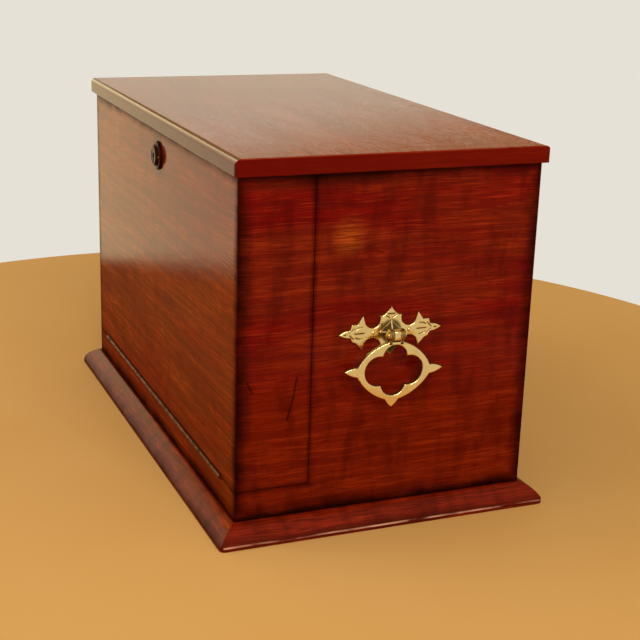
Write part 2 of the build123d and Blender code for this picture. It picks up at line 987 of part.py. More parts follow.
def pen_tray():
    """Tray with a round-bottomed trough, in front under the fall."""
    y0 = inner_front + fitting_gap
    y1 = ink_wall_y - fitting_gap
    x = inner_x - fitting_gap
    top = seam_height - pen_tray_below_seam
    solid = block(-x, x, y0, y1, floor_z, top)
    y = (y0 + y1) / 2
    scoop = rod_x(-x + pen_tray_end, x - pen_tray_end, y, top + pen_tray_scoop_rise, pen_tray_scoop)
    return solid - scoop


def ink_wall():
    """Low wall between the pen tray and the ink compartments."""
    return block(-inner_x, inner_x, ink_wall_y, ink_wall_y + partition, floor_z, floor_z + ink_wall_height)


def rack_front_y(index):
    """Front face of a letter rack divider."""
    return rack_start_y + index * rack_pitch


def ink_partitions():
    """Two short walls that close off the inkwell cells."""
    y0 = ink_wall_y + partition
    y1 = rack_front_y(0)
    x0 = inner_x - ink_cell_width - partition
    wall = block(x0, x0 + partition, y0, y1, floor_z, floor_z + ink_wall_height)
    return [mirror(wall, Plane.YZ), wall]


def rack_divider(index):
    """Divider of the letter rack with a dipped top edge, halved for the partition."""
    y0 = rack_front_y(index)
    top = floor_z + rack_heights[index]
    face = make_face(
        Polyline((inner_x, top), (inner_x, floor_z), (-inner_x, floor_z), (-inner_x, top))
        + ThreePointArc((-inner_x, top), (0, top - rack_arch), (inner_x, top))
    )
    plane = Plane(origin=(0, y0 + partition, 0), x_dir=(1, 0, 0), z_dir=(0, -1, 0))
    solid = extrude(plane * face, amount=partition)
    if index == 0:
        return solid
    half = partition / 2 + screw_clearance
    return solid - block(-half, half, y0 - 1, y0 + partition + 1, slot_height(index), top + 1)


def slot_height(index):
    """Where the halving joint of a divider and the partition meets."""
    return floor_z + rack_heights[index] / 2


def rack_partition():
    """Middle partition of the letter rack, stepped down to the front."""
    half = partition / 2
    gap = screw_clearance
    count = len(rack_heights)
    solid = None
    for index in range(count):
        y0 = rack_front_y(index) + partition if index == 0 else rack_front_y(index)
        y1 = rack_front_y(index + 1) if index + 1 < count else inner_back
        top = floor_z + rack_heights[index] - rack_arch
        step = block(-half, half, y0, y1, floor_z, top)
        solid = step if solid is None else solid + step
    for index in range(1, count):
        y0 = rack_front_y(index)
        solid -= block(-9, 9, y0 - gap, y0 + partition + gap, floor_z - 1, slot_height(index) + gap)
    return solid


# Inkwells

def ink_centre():
    """Centre of the right inkwell in plan."""
    x = inner_x - ink_cell_width / 2
    y = ink_wall_y + partition + ink_cell_depth / 2 - 1.2
    return x, y


def ink_glass():
    """Square cut-glass inkwell."""
    x, y = ink_centre()
    half = ink_side / 2
    solid = block(x - half, x + half, y - half, y + half, floor_z, floor_z + ink_height)
    solid = chamfer(solid.edges().filter_by(Axis.Z), ink_edge)
    solid = chamfer(solid.faces().sort_by(Axis.Z)[-1].edges(), ink_edge * 0.8)
    top = floor_z + ink_height
    return solid - rod_z(x, y, top - ink_bore_depth, top + 1, ink_bore)


def cap_axis():
    """Hinge axis of the right inkwell's cap: y and z."""
    y = ink_centre()[1] + collar_radius + cap_hinge_out
    return y, floor_z + ink_height + collar_height


def ink_collar():
    """Brass collar on the glass, with two knuckles behind."""
    x, y = ink_centre()
    z0 = floor_z + ink_height
    axis_y, axis_z = cap_axis()
    solid = rod_z(x, y, z0, z0 + collar_height, collar_radius)
    reach = cap_knuckle / 2 + knuckle_gap
    for side in (-1, 1):
        x0, x1 = sorted((x + side * reach, x + side * (reach + cap_knuckle)))
        solid += rod_x(x0, x1, axis_y, axis_z, cap_barrel)
        solid += block(x0, x1, axis_y - cap_hinge_out - 3, axis_y, axis_z - cap_barrel, axis_z - 0.2)
    middle = rod_x(x - reach, x + reach, axis_y, axis_z, cap_barrel + knuckle_gap)
    solid -= middle
    solid -= rod_x(x - 20, x + 20, axis_y, axis_z, cap_pin + pin_clearance)
    return solid - rod_z(x, y, z0 - 1, z0 + collar_height + 1, collar_bore)


def ink_cap():
    """Domed brass cap with one knuckle."""
    x, y = ink_centre()
    axis_y, axis_z = cap_axis()
    z0 = axis_z + cap_gap
    solid = rod_z(x, y, z0, z0 + cap_height, cap_radius)
    solid = fillet(solid.faces().sort_by(Axis.Z)[-1].edges(), cap_height * 0.75)
    half = cap_knuckle / 2
    solid += rod_x(x - half, x + half, axis_y, axis_z, cap_barrel)
    solid += block(x - half, x + half, axis_y - cap_hinge_out - 3, axis_y, z0, axis_z + cap_barrel)
    return solid - rod_x(x - 20, x + 20, axis_y, axis_z, cap_pin + pin_clearance)


def ink_pin():
    """Pin of the cap's hinge."""
    x = ink_centre()[0]
    axis_y, axis_z = cap_axis()
    reach = 1.5 * cap_knuckle + knuckle_gap
    return rod_x(x - reach, x + reach, axis_y, axis_z, cap_pin)


def save(name, solids):
    """Write one node: a solid, or a group of separate solids."""
    if isinstance(solids, list):
        shape = Compound(children=[Solid(item.solid().wrapped) for item in solids])
    else:
        shape = solids.solid()
    export_step(shape, f"parts/{name}.step")


def save_pair(name, solid):
    """Write a right-hand piece and its mirror image on the left."""
    save(f"right_{name}", solid)
    save(f"left_{name}", mirror(solid, Plane.YZ))


def both_ends(solids):
    """Right-hand solids and their mirror images, as one group."""
    return solids + [mirror(item, Plane.YZ) for item in solids]


def main():
    """Write every node."""
    os.makedirs("parts", exist_ok=True)

    save_pair("side_board", side_board())
    save("back_board", back_board())
    save("front_rail", front_rail())
    save("base_board", base_board())
    save("plinth_front", plinth_front())
    save("plinth_back", mirror(plinth_front(), Plane.XZ))
    save_pair("plinth", plinth_side())

    save("lid_board", lid_board())
    save("link_plate", link_plate())
    save("lid_hinge_lower_leaves", placed(lid_hinge_frames, [hinge_leaf(lid_hinge, False)]))
    save("lid_hinge_upper_leaves", placed(lid_hinge_frames, [hinge_leaf(lid_hinge, True)]))
    save("lid_hinge_pins", placed(lid_hinge_frames, [hinge_pin(lid_hinge)]))
    save("lid_hinge_lower_screws", placed(lid_hinge_frames, hinge_screws(lid_hinge, False)))
    save("lid_screws", link_screws() + placed(lid_hinge_frames, hinge_screws(lid_hinge, True)))

    save("fall_panel", fall_panel())
    save_pair("fall_wing", fall_wing())
    save("fall_bottom_rail", fall_bottom_rail())
    save("fall_top_rail", fall_top_rail())
    save("fall_battens", fall_battens())
    save("fall_hinge_lower_leaf", fall_hinge_frame * hinge_leaf(fall_hinge, False))
    save("fall_hinge_upper_leaf", fall_hinge_frame * hinge_leaf(fall_hinge, True))
    save("fall_hinge_pin", fall_hinge_frame * hinge_pin(fall_hinge))
    save("fall_hinge_lower_screws", placed([fall_hinge_frame], hinge_screws(fall_hinge, False)))
    fall_screws = placed([fall_hinge_frame], hinge_screws(fall_hinge, True))
    fall_screws += placed(flap_hinge_frames, hinge_screws(flap_hinge, False))
    save("fall_screws", fall_screws)

    save("writing_board_fixed", writing_board_fixed())
    save("writing_leather_fixed", writing_leather_fixed())
    save("flap_board", flap_board())
    save("flap_leather", flap_leather())
    save("flap_pull_tab", flap_tab())
    save("flap_hinge_lower_leaves", placed(flap_hinge_frames, [hinge_leaf(flap_hinge, False)]))
    save("flap_hinge_upper_leaves", placed(flap_hinge_frames, [hinge_leaf(flap_hinge, True)]))
    save("flap_hinge_pins", placed(flap_hinge_frames, [hinge_pin(flap_hinge)]))
    save("flap_screws", placed(flap_hinge_frames, hinge_screws(flap_hinge, True)))

    save("lock_case", lock_case())
    save("lock_bolt", lock_bolt())
    save("escutcheon", escutcheon())
    save("escutcheon_brads", escutcheon_brads())

    save_pair("handle_plate", handle_plate())
    save_pair("handle_stud", handle_stud())
    save_pair("handle_drop", handle_drop())
    save("handle_pins", both_ends([handle_pin()]))
    save("handle_nuts", both_ends([handle_nut()]))
    save("handle_brads", both_ends(handle_brads()))

    save("pen_tray", pen_tray())
    save("ink_wall", ink_wall())
    save("ink_partitions", ink_partitions())
    save("rack_dividers", [rack_divider(index) for index in range(len(rack_heights))])
    save("rack_partition", rack_partition())
    save("inkwell_glasses", both_ends([ink_glass()]))
    save("inkwell_collars", both_ends([ink_collar()]))
    save("inkwell_cap_pins", both_ends([ink_pin()]))
    save_pair("inkwell_cap", ink_cap())


main()
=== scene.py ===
"""Mahogany writing slope: finishes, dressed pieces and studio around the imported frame.

Metres in Blender, millimetres in the dataclass fields. +Z is up, the width runs along X
and the fall front faces -Y. Every piece is drawn closed and rides on its body.
"""
from __future__ import annotations

import logging
import math
from dataclasses import dataclass, replace
from enum import Enum
from typing import Callable, Sequence

import bmesh
import bpy
import numpy as np
from bpy.types import Material, Mesh, Node, NodeSocket, NodeTree, Object
from mathutils import Matrix, Vector
from mathutils.geometry import delaunay_2d_cdt

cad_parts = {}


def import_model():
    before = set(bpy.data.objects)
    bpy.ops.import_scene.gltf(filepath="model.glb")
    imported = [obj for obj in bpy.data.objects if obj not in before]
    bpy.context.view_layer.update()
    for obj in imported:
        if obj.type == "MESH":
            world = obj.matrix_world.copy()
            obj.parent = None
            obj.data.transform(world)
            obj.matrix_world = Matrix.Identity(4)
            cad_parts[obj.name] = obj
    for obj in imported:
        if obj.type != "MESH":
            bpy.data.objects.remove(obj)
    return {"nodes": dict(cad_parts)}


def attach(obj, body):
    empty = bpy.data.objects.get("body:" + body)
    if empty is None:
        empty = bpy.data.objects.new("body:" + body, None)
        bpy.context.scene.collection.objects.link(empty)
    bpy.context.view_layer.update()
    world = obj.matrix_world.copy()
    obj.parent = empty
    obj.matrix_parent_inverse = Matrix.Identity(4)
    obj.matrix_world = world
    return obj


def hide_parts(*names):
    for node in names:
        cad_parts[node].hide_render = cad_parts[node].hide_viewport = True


LOG = logging.getLogger("writing_slope")
MM = 0.001
# The field also holds painted shade: on the castings' rims and facets, and behind the drop.
TARNISH_AND_SHADE = "tarnish_and_shade"  # name of the field that says how much tarnish a place holds


def linear(code: str) -> tuple[float, float, float, float]:
    """Turn an sRGB hex colour into linear red, green, blue and alpha.

    Args:
        code: six hex digits, with or without a leading mark.

    Returns:
        The colour with full alpha.
    """
    digits = code.lstrip("#")
    shares = [int(digits[i : i + 2], 16) / 255 for i in (0, 2, 4)]
    values = [s / 12.92 if s <= 0.04045 else ((s + 0.055) / 1.055) ** 2.4 for s in shares]
    return (values[0], values[1], values[2], 1.0)


def add_node(
    tree: NodeTree,
    kind: str,
    inputs: dict | None = None,
    stops: Sequence[tuple[float, tuple]] = (),
    **settings: object,
) -> Node:
    """Add a node, with its settings, its links and its colour stops.

    Args:
        tree: the node tree.
        kind: the node's type name.
        inputs: values or sockets, by input name or index.
        stops: positions and colours of a colour ramp.
        settings: attributes of the node.

    Returns:
        The new node.
    """
    node = tree.nodes.new(kind)
    for key, value in settings.items():
        setattr(node, key, value)
    for key, value in (inputs or {}).items():
        if isinstance(value, NodeSocket):
            tree.links.new(value, node.inputs[key])
        else:
            node.inputs[key].default_value = value
    for index, (place, colour) in enumerate(stops):
        if index < 2:
            stop = node.color_ramp.elements[index]
            stop.position = place
        else:
            stop = node.color_ramp.elements.new(place)
        stop.color = colour
    return node


def made(tree: NodeTree, kind: str, inputs: dict | None = None, **settings: object) -> NodeSocket:
    """Add a node and take the first of its outputs that its settings use."""
    return next(socket for socket in add_node(tree, kind, inputs, **settings).outputs if socket.enabled)


def layered(
    tree: NodeTree, ground: NodeSocket | tuple, layers: Sequence[tuple[NodeSocket, str]]
) -> NodeSocket:
    """Lay colours over each other.

    Args:
        tree: the node tree.
        ground: the lowest colour.
        layers: how much each colour covers, and its hex code.

    Returns:
        The mixed colour.
    """
    for share, shade in layers:
        mix = {0: share, 6: ground, 7: linear(shade)}
        ground = made(tree, "ShaderNodeMix", mix, data_type="RGBA")
    return ground


Ramp = tuple[NodeSocket, float, float, float, float]


def product(tree: NodeTree, factors: Sequence[NodeSocket], ramps: Sequence[Ramp] = ()) -> NodeSocket:
    """Multiply factors with each other, and with straight ramps of other values.

    Args:
        tree: the node tree.
        factors: the plain factors.
        ramps: a value, the two levels it is read between, and the factor at each.

    Returns:
        The product.
    """
    factors = list(factors)
    for value, low, high, at_low, at_high in ramps:
        limits = {"Value": value, "From Min": low, "From Max": high, "To Min": at_low, "To Max": at_high}
        factors.append(made(tree, "ShaderNodeMapRange", limits))
    result = factors[0]
    for factor in factors[1:]:
        result = made(tree, "ShaderNodeMath", {0: result, 1: factor}, operation="MULTIPLY")
    return result


@dataclass(frozen=True)
class Finish:
    """One real finish. Each kind says how its material is painted."""

    name: str

    def paint(self, tree: NodeTree, shader: Node) -> None:
        """Set up the shader, in each kind of finish.

        Args:
            tree: the new material's tree.
            shader: its shader.
        """
        raise NotImplementedError

    def material(self) -> Material:
        """Build the finish, or take it when it is already there.

        Returns:
            The material.
        """
        material = bpy.data.materials.get(self.name)
        if material is None:
            material = bpy.data.materials.new(self.name)
            material.use_nodes = True
            self.paint(material.node_tree, material.node_tree.nodes["Principled BSDF"])
        return material


def wire(tree: NodeTree, shader: Node, sockets: dict[str, NodeSocket], values: dict[str, float]) -> None:
    """Link some of a shader's inputs and set others.

    Args:
        tree: the material's tree.
        shader: its shader.
        sockets: what is linked, by input.
        values: what is set, by input.
    """
    for label, socket in sockets.items():
        tree.links.new(socket, shader.inputs[label])
    for label, value in values.items():
        shader.inputs[label].default_value = value


class Grain(Enum):
    """Which way a board's grain runs: the axes along, across and through it."""

    END = (1, 2, 0)
    FRONT = (0, 2, 1)
    LID = (0, 1, 2)


class Arris(Enum):
    """Where a board's finish is darkened along its edges."""

    NONE = "none"
    BODY = "body"
    LID = "lid"
    PLINTH = "plinth"


@dataclass(frozen=True)
class BoxSizes:
    """Outside of the box, in millimetres, as the frame has it."""

    half_width: float = 195.0
    half_depth: float = 111.5
    height: float = 255.0
    lid_half_width: float = 200.0
    lid_front: float = -115.2
    lid_back: float = 114.5
    lid_top: float = 267.1
    plinth: float = 14.3
    plinth_edge: float = 2.5
    seam_y: float = -57.5
    seam_z: float = 36.0
    handle_z: float = 142.5
    lock_x: float = 8.0
    keyhole_z: float = 235.0


BOX = BoxSizes()


@dataclass(frozen=True)
class Figure:
    """One scale of figure in the wood: its size in millimetres, its octaves, where it is cut."""

    length: float
    width: float
    detail: float
    low: float
    high: float


# Figure of mahogany, from broad clouds of colour down to single fibres and dark dashes.
CLOUDS = Figure(120, 26, 2.0, 0.36, 0.66)
STRIPES = Figure(120, 5.0, 3.0, 0.34, 0.68)
FIBRES = Figure(22, 0.8, 2.0, 0.30, 0.70)
FLECKS = Figure(34, 1.15, 1.0, 0.54, 0.78)
DASHES = Figure(9, 0.9, 1.0, 0.58, 0.70)
CROSSBANDS = Figure(13, 42, 2.0, 0.42, 0.72)
# Wear: the ragged border of grime and painted shade, and the chips along an edge.
RAGGED = Figure(24, 16, 3.0, 0.25, 0.75)
CHIPS = Figure(38, 9, 3.0, 0.38, 0.60)


@dataclass(frozen=True)
class FrenchPolish(Finish):
    """Mahogany under shellac rubbed to a gloss: a deep red-brown with fine bright flecks.

    The polish is a thin clear coat, so the grain keeps its colour. The edges go nearly black:
    grime and old polish gather there, and painted shade is laid along the arrises under the
    lid and along the plinth. Reaches, places and scratches are in millimetres, and the shift
    moves the figure so that no two boards are alike.
    """

    grain: Grain
    arris: Arris = Arris.NONE
    deep: str = "#540501"
    body: str = "#880902"
    warm: str = "#8E1E04"
    fleck: str = "#B2400E"
    crossband: str = "#320301"
    dash: str = "#220401"
    glow: str = "#C8601A"
    # Near-black laid along lines: grime at arrises, joint, scratches and escutcheon, and painted shade under
    # the lid and above the plinth.
    dirt_and_shade: str = "#160301"
    fleck_share: float = 0.6
    dash_share: float = 0.3
    cross_share: float = 0.4
    ripple: float = 0.2
    gloss: float = 0.05
    coat: float = 1.0
    coat_ior: float = 1.2
    # Share of the coat left where grime and painted shade darken the colour.
    darkened_coat: float = 0.15
    edge_reach: float = 9.0
    edge_share: float = 0.9
    seam_reach: float = 3.0
    seam_share: float = 0.7
    # Painted shade in the corner where the box meets the plinth, its reach and darkness; then the polish at
    # the foot.
    foot_shade_reach: float = 3.2
    foot_shade_share: float = 0.97
    foot_coat: float = 1.0
    # Lid: painted shade on the front and back edge faces, and the pale front rounding, wear and a painted
    # reflection.
    edge_face_shade: str = "#220C04"
    rounding_wear_and_sheen: str = "#5A4230"
    # Pale broken line on the arrises of the ends: wear, and a painted highlight.
    worn: str = "#C9743E"
    wear_and_highlight_share: float = 0.0
    figure: tuple[float, float, float] | None = None
    ring: tuple[float, float, float] | None = None
    # Darkening round the escutcheon: grime at the fitting, and painted shade round its foot.
    ring_reach: float = 10.0
    ring_share: float = 0.6
    scratches: tuple[tuple[float, float, float, float], ...] = ()
    scratch_width: float = 1.4
    scratched_beyond: float = 190.0
    shift: float = 0.0

    def stretched(self, tree: NodeTree, board: NodeSocket, length: float, width: float) -> NodeSocket:
        """Coordinates in which one unit is a pattern's length and width.

        Args:
            tree: the material's tree.
            board: position along, across and through the board.
            length: size of the pattern along the grain, in millimetres.
            width: size of the pattern across it.

        Returns:
            The scaled coordinates.
        """
        scale = (1 / (length * MM), 1 / (width * MM), 1 / (width * MM))
        return made(tree, "ShaderNodeVectorMath", {0: board, 1: scale}, operation="MULTIPLY")

    def noise(self, tree: NodeTree, board: NodeSocket, figure: Figure) -> NodeSocket:
        """Stretched noise, cut between two levels.

        Args:
            tree: the material's tree.
            board: position in the board.
            figure: its size and levels.

        Returns:
            A factor from 0 to 1.
        """
        where = self.stretched(tree, board, figure.length, figure.width)
        field = {"Vector": where, "Scale": 1.0, "Detail": figure.detail, "Roughness": 0.55}
        value = made(tree, "ShaderNodeTexNoise", field)
        cut = {"Value": value, "From Min": figure.low, "From Max": figure.high}
        return made(tree, "ShaderNodeMapRange", cut, interpolation_type="SMOOTHSTEP")

    def board_place(self, tree: NodeTree) -> tuple[NodeSocket, Sequence[NodeSocket]]:
        """Position along, across and through the board, gently waved.

        Args:
            tree: the material's tree.

        Returns:
            The waved position, and the plain x, y and z.
        """
        own = add_node(tree, "ShaderNodeTexCoord").outputs
        xyz = add_node(tree, "ShaderNodeSeparateXYZ", {0: own["Object"]}).outputs
        along, across, through = (xyz[axis] for axis in self.grain.value)
        board = made(tree, "ShaderNodeCombineXYZ", {0: along, 1: across, 2: through})
        if self.grain is Grain.LID:
            # The ends of the lid are veneered, with their grain along the edge.
            facing = add_node(tree, "ShaderNodeSeparateXYZ", {0: own["Normal"]}).outputs[0]
            sideways = made(tree, "ShaderNodeMath", {0: facing}, operation="ABSOLUTE")
            turned = made(tree, "ShaderNodeMath", {0: sideways, 1: 0.7}, operation="GREATER_THAN")
            edge = made(tree, "ShaderNodeCombineXYZ", {0: xyz[1], 1: xyz[2], 2: xyz[0]})
            board = made(tree, "ShaderNodeMix", {0: turned, 4: board, 5: edge}, data_type="VECTOR")
        moved = made(tree, "ShaderNodeVectorMath", {0: board, 1: (self.shift,) * 3})
        # The grain strays by up to 7 mm in waves about 90 mm long.
        field = {"Vector": self.stretched(tree, moved, 90, 30), "Scale": 1.0, "Detail": 1.0}
        wave = add_node(tree, "ShaderNodeTexNoise", field).outputs["Color"]
        stray = {0: wave, 1: (0.0, 7 * MM, 7 * MM)}
        pull = made(tree, "ShaderNodeVectorMath", stray, operation="MULTIPLY")
        return made(tree, "ShaderNodeVectorMath", {0: moved, 1: pull}), [xyz[0], xyz[1], xyz[2]]

    def span(self, tree: NodeTree, value: NodeSocket, edge: float, sign: float) -> NodeSocket:
        """Distance in metres from a face at edge, counted inwards.

        Args:
            tree: the material's tree.
            value: a coordinate.
            edge: where the face is, in millimetres.
            sign: 1 when inwards is downwards in that coordinate, else -1.

        Returns:
            The distance.
        """
        terms = {0: value, 1: -sign, 2: sign * edge * MM}
        return made(tree, "ShaderNodeMath", terms, operation="MULTIPLY_ADD")

    def edge_distance(self, tree: NodeTree, xyz: Sequence[NodeSocket]) -> NodeSocket | None:
        """Distance to the nearest arris, where grime and painted shade darken the finish, in metres.

        Args:
            tree: the material's tree.
            xyz: the plain coordinates.

        Returns:
            The distance, or None where the finish has no dark arrises.
        """
        if self.arris is Arris.NONE:
            return None
        width, front, back = BOX.half_width, -BOX.half_depth, BOX.half_depth
        bottom, top = BOX.plinth, BOX.height
        if self.arris is Arris.LID:
            width, front, back = BOX.lid_half_width, BOX.lid_front, BOX.lid_back
            bottom, top = BOX.height, BOX.lid_top
        if self.arris is Arris.PLINTH:
            width, front, back = width + BOX.plinth, front - BOX.plinth, back + BOX.plinth
            bottom, top = -BOX.plinth, BOX.plinth_edge
        sides = made(tree, "ShaderNodeMath", {0: xyz[0]}, operation="ABSOLUTE")
        from_side = self.span(tree, sides, width, 1)
        depth, height = (
            made(
                tree, "ShaderNodeMath",
                {0: self.span(tree, value, near, -1), 1: self.span(tree, value, far, 1)},
                operation="MINIMUM",
            )
            for value, near, far in ((xyz[1], front, back), (xyz[2], bottom, top))
        )
        # The second smallest of the three distances: 0 only where two faces meet.
        low = made(tree, "ShaderNodeMath", {0: from_side, 1: depth}, operation="MINIMUM")
        high = made(tree, "ShaderNodeMath", {0: from_side, 1: depth}, operation="MAXIMUM")
        upper = made(tree, "ShaderNodeMath", {0: low, 1: height}, operation="MAXIMUM")
        return made(tree, "ShaderNodeMath", {0: upper, 1: high}, operation="MINIMUM")

    def seam_distance(self, tree: NodeTree, xyz: Sequence[NodeSocket]) -> NodeSocket:
        """Distance to the joint between the fall front and the box, in metres.

        Args:
            tree: the material's tree.
            xyz: the plain coordinates.

        Returns:
            The distance to the L-shaped line seen on the ends, level along the front.
        """
        from_y = self.span(tree, xyz[1], BOX.seam_y, 1)
        from_z = self.span(tree, xyz[2], BOX.seam_z, -1)
        inner = made(tree, "ShaderNodeMath", {0: from_y, 1: from_z}, operation="MINIMUM")
        return made(tree, "ShaderNodeMath", {0: inner}, operation="ABSOLUTE")

    def ring_distance(self, tree: NodeTree, xyz: Sequence[NodeSocket]) -> NodeSocket:
        """Distance to the rim of a round fitting on the front, in metres.

        Args:
            tree: the material's tree.
            xyz: the plain coordinates.

        Returns:
            The distance, below 0 under the fitting.
        """
        x, z, radius = (value * MM for value in self.ring)
        where = made(tree, "ShaderNodeCombineXYZ", {0: xyz[0], 1: xyz[2]})
        far = made(tree, "ShaderNodeVectorMath", {0: where, 1: (x, z, 0.0)}, operation="DISTANCE")
        return made(tree, "ShaderNodeMath", {0: far, 1: radius}, operation="SUBTRACT")

    def darkened(
        self,
        tree: NodeTree,
        layers: tuple[NodeSocket, NodeSocket | None],
        distance: NodeSocket,
        reach: float,
        share: float,
        ragged: NodeSocket,
    ) -> tuple[NodeSocket, NodeSocket]:
        """Colour darkened near a line with a ragged border, for grime and for painted shade alike.

        Args:
            tree: the material's tree.
            layers: the colour so far, and how far grime and painted shade darken it so far, if they do.
            distance: distance to the line, in metres.
            reach: how far the dark goes, in millimetres.
            share: how dark it is at the line, from 0 to 1.
            ragged: noise from 0 to 1 that moves the border.

        Returns:
            The colour, and how far grime and painted shade darken it.
        """
        colour, dirt_and_shade = layers
        moved = made(
            tree, "ShaderNodeMath", {0: ragged, 1: reach * MM * 0.45, 2: distance}, operation="MULTIPLY_ADD"
        )
        cut = {"Value": moved, "From Min": 0.0, "From Max": reach * MM * 1.5, "To Min": share, "To Max": 0.0}
        level = made(tree, "ShaderNodeMapRange", cut, interpolation_type="SMOOTHSTEP")
        colour = layered(tree, colour, [(level, self.dirt_and_shade)])
        if dirt_and_shade is not None:
            level = made(tree, "ShaderNodeMath", {0: dirt_and_shade, 1: level}, operation="MAXIMUM")
        return colour, level

    def scratched(self, tree: NodeTree, colour: NodeSocket, xyz: Sequence[NodeSocket]) -> NodeSocket:
        """Colour with dark scratches on the right end.

        Args:
            tree: the material's tree.
            colour: the colour so far.
            xyz: the plain coordinates.

        Returns:
            The colour.
        """
        where = made(tree, "ShaderNodeCombineXYZ", {0: xyz[1], 1: xyz[2]})
        right = made(
            tree, "ShaderNodeMath", {0: xyz[0], 1: self.scratched_beyond * MM}, operation="GREATER_THAN"
        )
        for y0, z0, y1, z1 in self.scratches:
            start, run = Vector((y0, z0, 0)) * MM, Vector((y1 - y0, z1 - z0, 0)) * MM
            away = made(tree, "ShaderNodeVectorMath", {0: where, 1: start}, operation="SUBTRACT")
            ahead = made(
                tree, "ShaderNodeVectorMath", {0: away, 1: run / run.length_squared},
                operation="DOT_PRODUCT",
            )
            share = made(tree, "ShaderNodeClamp", {0: ahead})
            foot = made(tree, "ShaderNodeVectorMath", {0: run, "Scale": share}, operation="SCALE")
            gap = made(tree, "ShaderNodeVectorMath", {0: away, 1: foot}, operation="DISTANCE")
            mark = made(
                tree, "ShaderNodeMapRange",
                {"Value": gap, "From Max": self.scratch_width * MM, "To Min": 0.75, "To Max": 0.0},
                interpolation_type="SMOOTHSTEP",
            )
            level = made(tree, "ShaderNodeMath", {0: mark, 1: right}, operation="MULTIPLY")
            colour = layered(tree, colour, [(level, self.dirt_and_shade)])
        return colour

    def wood(
        self, tree: NodeTree, board: NodeSocket, xyz: Sequence[NodeSocket], fibres: NodeSocket
    ) -> NodeSocket:
        """Colour of the clean wood.

        Args:
            tree: the material's tree.
            board: position in the board.
            xyz: the plain coordinates.
            fibres: the finest figure.

        Returns:
            The colour.
        """
        clouds, stripes, flecks, dashes, cross = (
            self.noise(tree, board, figure) for figure in (CLOUDS, STRIPES, FLECKS, DASHES, CROSSBANDS)
        )
        if self.grain is Grain.END:
            # The ends turn browner and quieter towards the foot.
            low = made(
                tree, "ShaderNodeMapRange",
                {"Value": xyz[2], "From Min": 0.05, "From Max": 0.18, "To Min": 1.0, "To Max": 0.0},
                interpolation_type="SMOOTHSTEP",
            )
            clouds = made(tree, "ShaderNodeMath", {0: low, 1: clouds}, operation="MAXIMUM")
            flecks = product(tree, [flecks], [(low, 0.0, 1.0, 1.0, 0.35)])
        colour = layered(tree, linear(self.body), [(clouds, self.warm)])
        depth = {"Value": product(tree, [stripes, fibres]), "To Min": 0.75, "To Max": 0.0}
        crossed, dashed = (
            made(tree, "ShaderNodeMath", {0: factor, 1: share}, operation="MULTIPLY")
            for factor, share in ((cross, self.cross_share), (dashes, self.dash_share))
        )
        shades = [(made(tree, "ShaderNodeMapRange", depth), self.deep), (crossed, self.crossband)]
        if self.figure:
            shades.append((self.figure_patch(tree, xyz, fibres), self.glow))
        quieter = (cross, 0.0, 1.0, self.fleck_share, 0.3 * self.fleck_share)
        shades += [(product(tree, [flecks], [quieter]), self.fleck), (dashed, self.dash)]
        return layered(tree, colour, shades)

    def figure_patch(self, tree: NodeTree, xyz: Sequence[NodeSocket], fibres: NodeSocket) -> NodeSocket:
        """Share of the bright patch round a knot in the end.

        Args:
            tree: the material's tree.
            xyz: the plain coordinates.
            fibres: the finest figure, which breaks it up.

        Returns:
            A factor from 0 to 1.
        """
        y, z, radius = (value * MM for value in self.figure)
        where = made(tree, "ShaderNodeCombineXYZ", {0: xyz[1], 1: xyz[2]})
        far = made(tree, "ShaderNodeVectorMath", {0: where, 1: (y, z, 0.0)}, operation="DISTANCE")
        patch = made(
            tree, "ShaderNodeMapRange",
            {"Value": far, "From Min": 0.0, "From Max": radius, "To Min": 0.6, "To Max": 0.0},
            interpolation_type="SMOOTHSTEP",
        )
        return product(tree, [patch, fibres])

    def soiled_and_shaded(
        self, tree: NodeTree, colour: NodeSocket, edge: NodeSocket | None, xyz: Sequence[NodeSocket],
        ragged: NodeSocket,
    ) -> tuple[NodeSocket, NodeSocket | None]:
        """Colour with grime in the joint, painted shade above the plinth, and both at edges and fitting.

        Args:
            tree: the material's tree.
            colour: the colour so far.
            edge: distance to the nearest arris.
            xyz: the plain coordinates.
            ragged: noise that moves the dirt's border.

        Returns:
            The colour, and how far grime and painted shade darken it, or None where the finish has neither.
        """
        layers = (colour, None)
        if edge is not None:
            layers = self.darkened(tree, layers, edge, self.edge_reach, self.edge_share, ragged)
        if self.arris is Arris.BODY:
            seam, foot = self.seam_distance(tree, xyz), self.span(tree, xyz[2], BOX.plinth, -1)
            layers = self.darkened(tree, layers, seam, self.seam_reach, self.seam_share, ragged)
            # Painted shade in the corner above the plinth.
            layers = self.darkened(tree, layers, foot, self.foot_shade_reach, self.foot_shade_share, ragged)
        colour, dirt_and_shade = layers
        # Grime round the escutcheon, with painted shade round its foot.
        if self.ring:
            rim = self.ring_distance(tree, xyz)
            colour, _ = self.darkened(tree, (colour, None), rim, self.ring_reach, self.ring_share, ragged)
        return colour, dirt_and_shade

    def wear_and_highlight(
        self, tree: NodeTree, colour: NodeSocket, edge: NodeSocket, board: NodeSocket, ends: NodeSocket
    ) -> NodeSocket:
        """Colour with a pale broken line on the arrises of the ends: wear, and a painted highlight.

        Args:
            tree: the material's tree.
            colour: the colour so far.
            edge: distance to the nearest arris.
            board: position in the board.
            ends: how far the face looks sideways, from 0 to 1.

        Returns:
            The colour.
        """
        line = made(
            tree, "ShaderNodeMapRange",
            {"Value": edge, "From Min": 0.1 * MM, "From Max": 0.6 * MM, "To Min": self.wear_and_highlight_share,
             "To Max": 0.0},
            interpolation_type="SMOOTHSTEP",
        )
        wear_and_highlight = product(tree, [line, self.noise(tree, board, CHIPS), ends])
        return layered(tree, colour, [(wear_and_highlight, self.worn)])

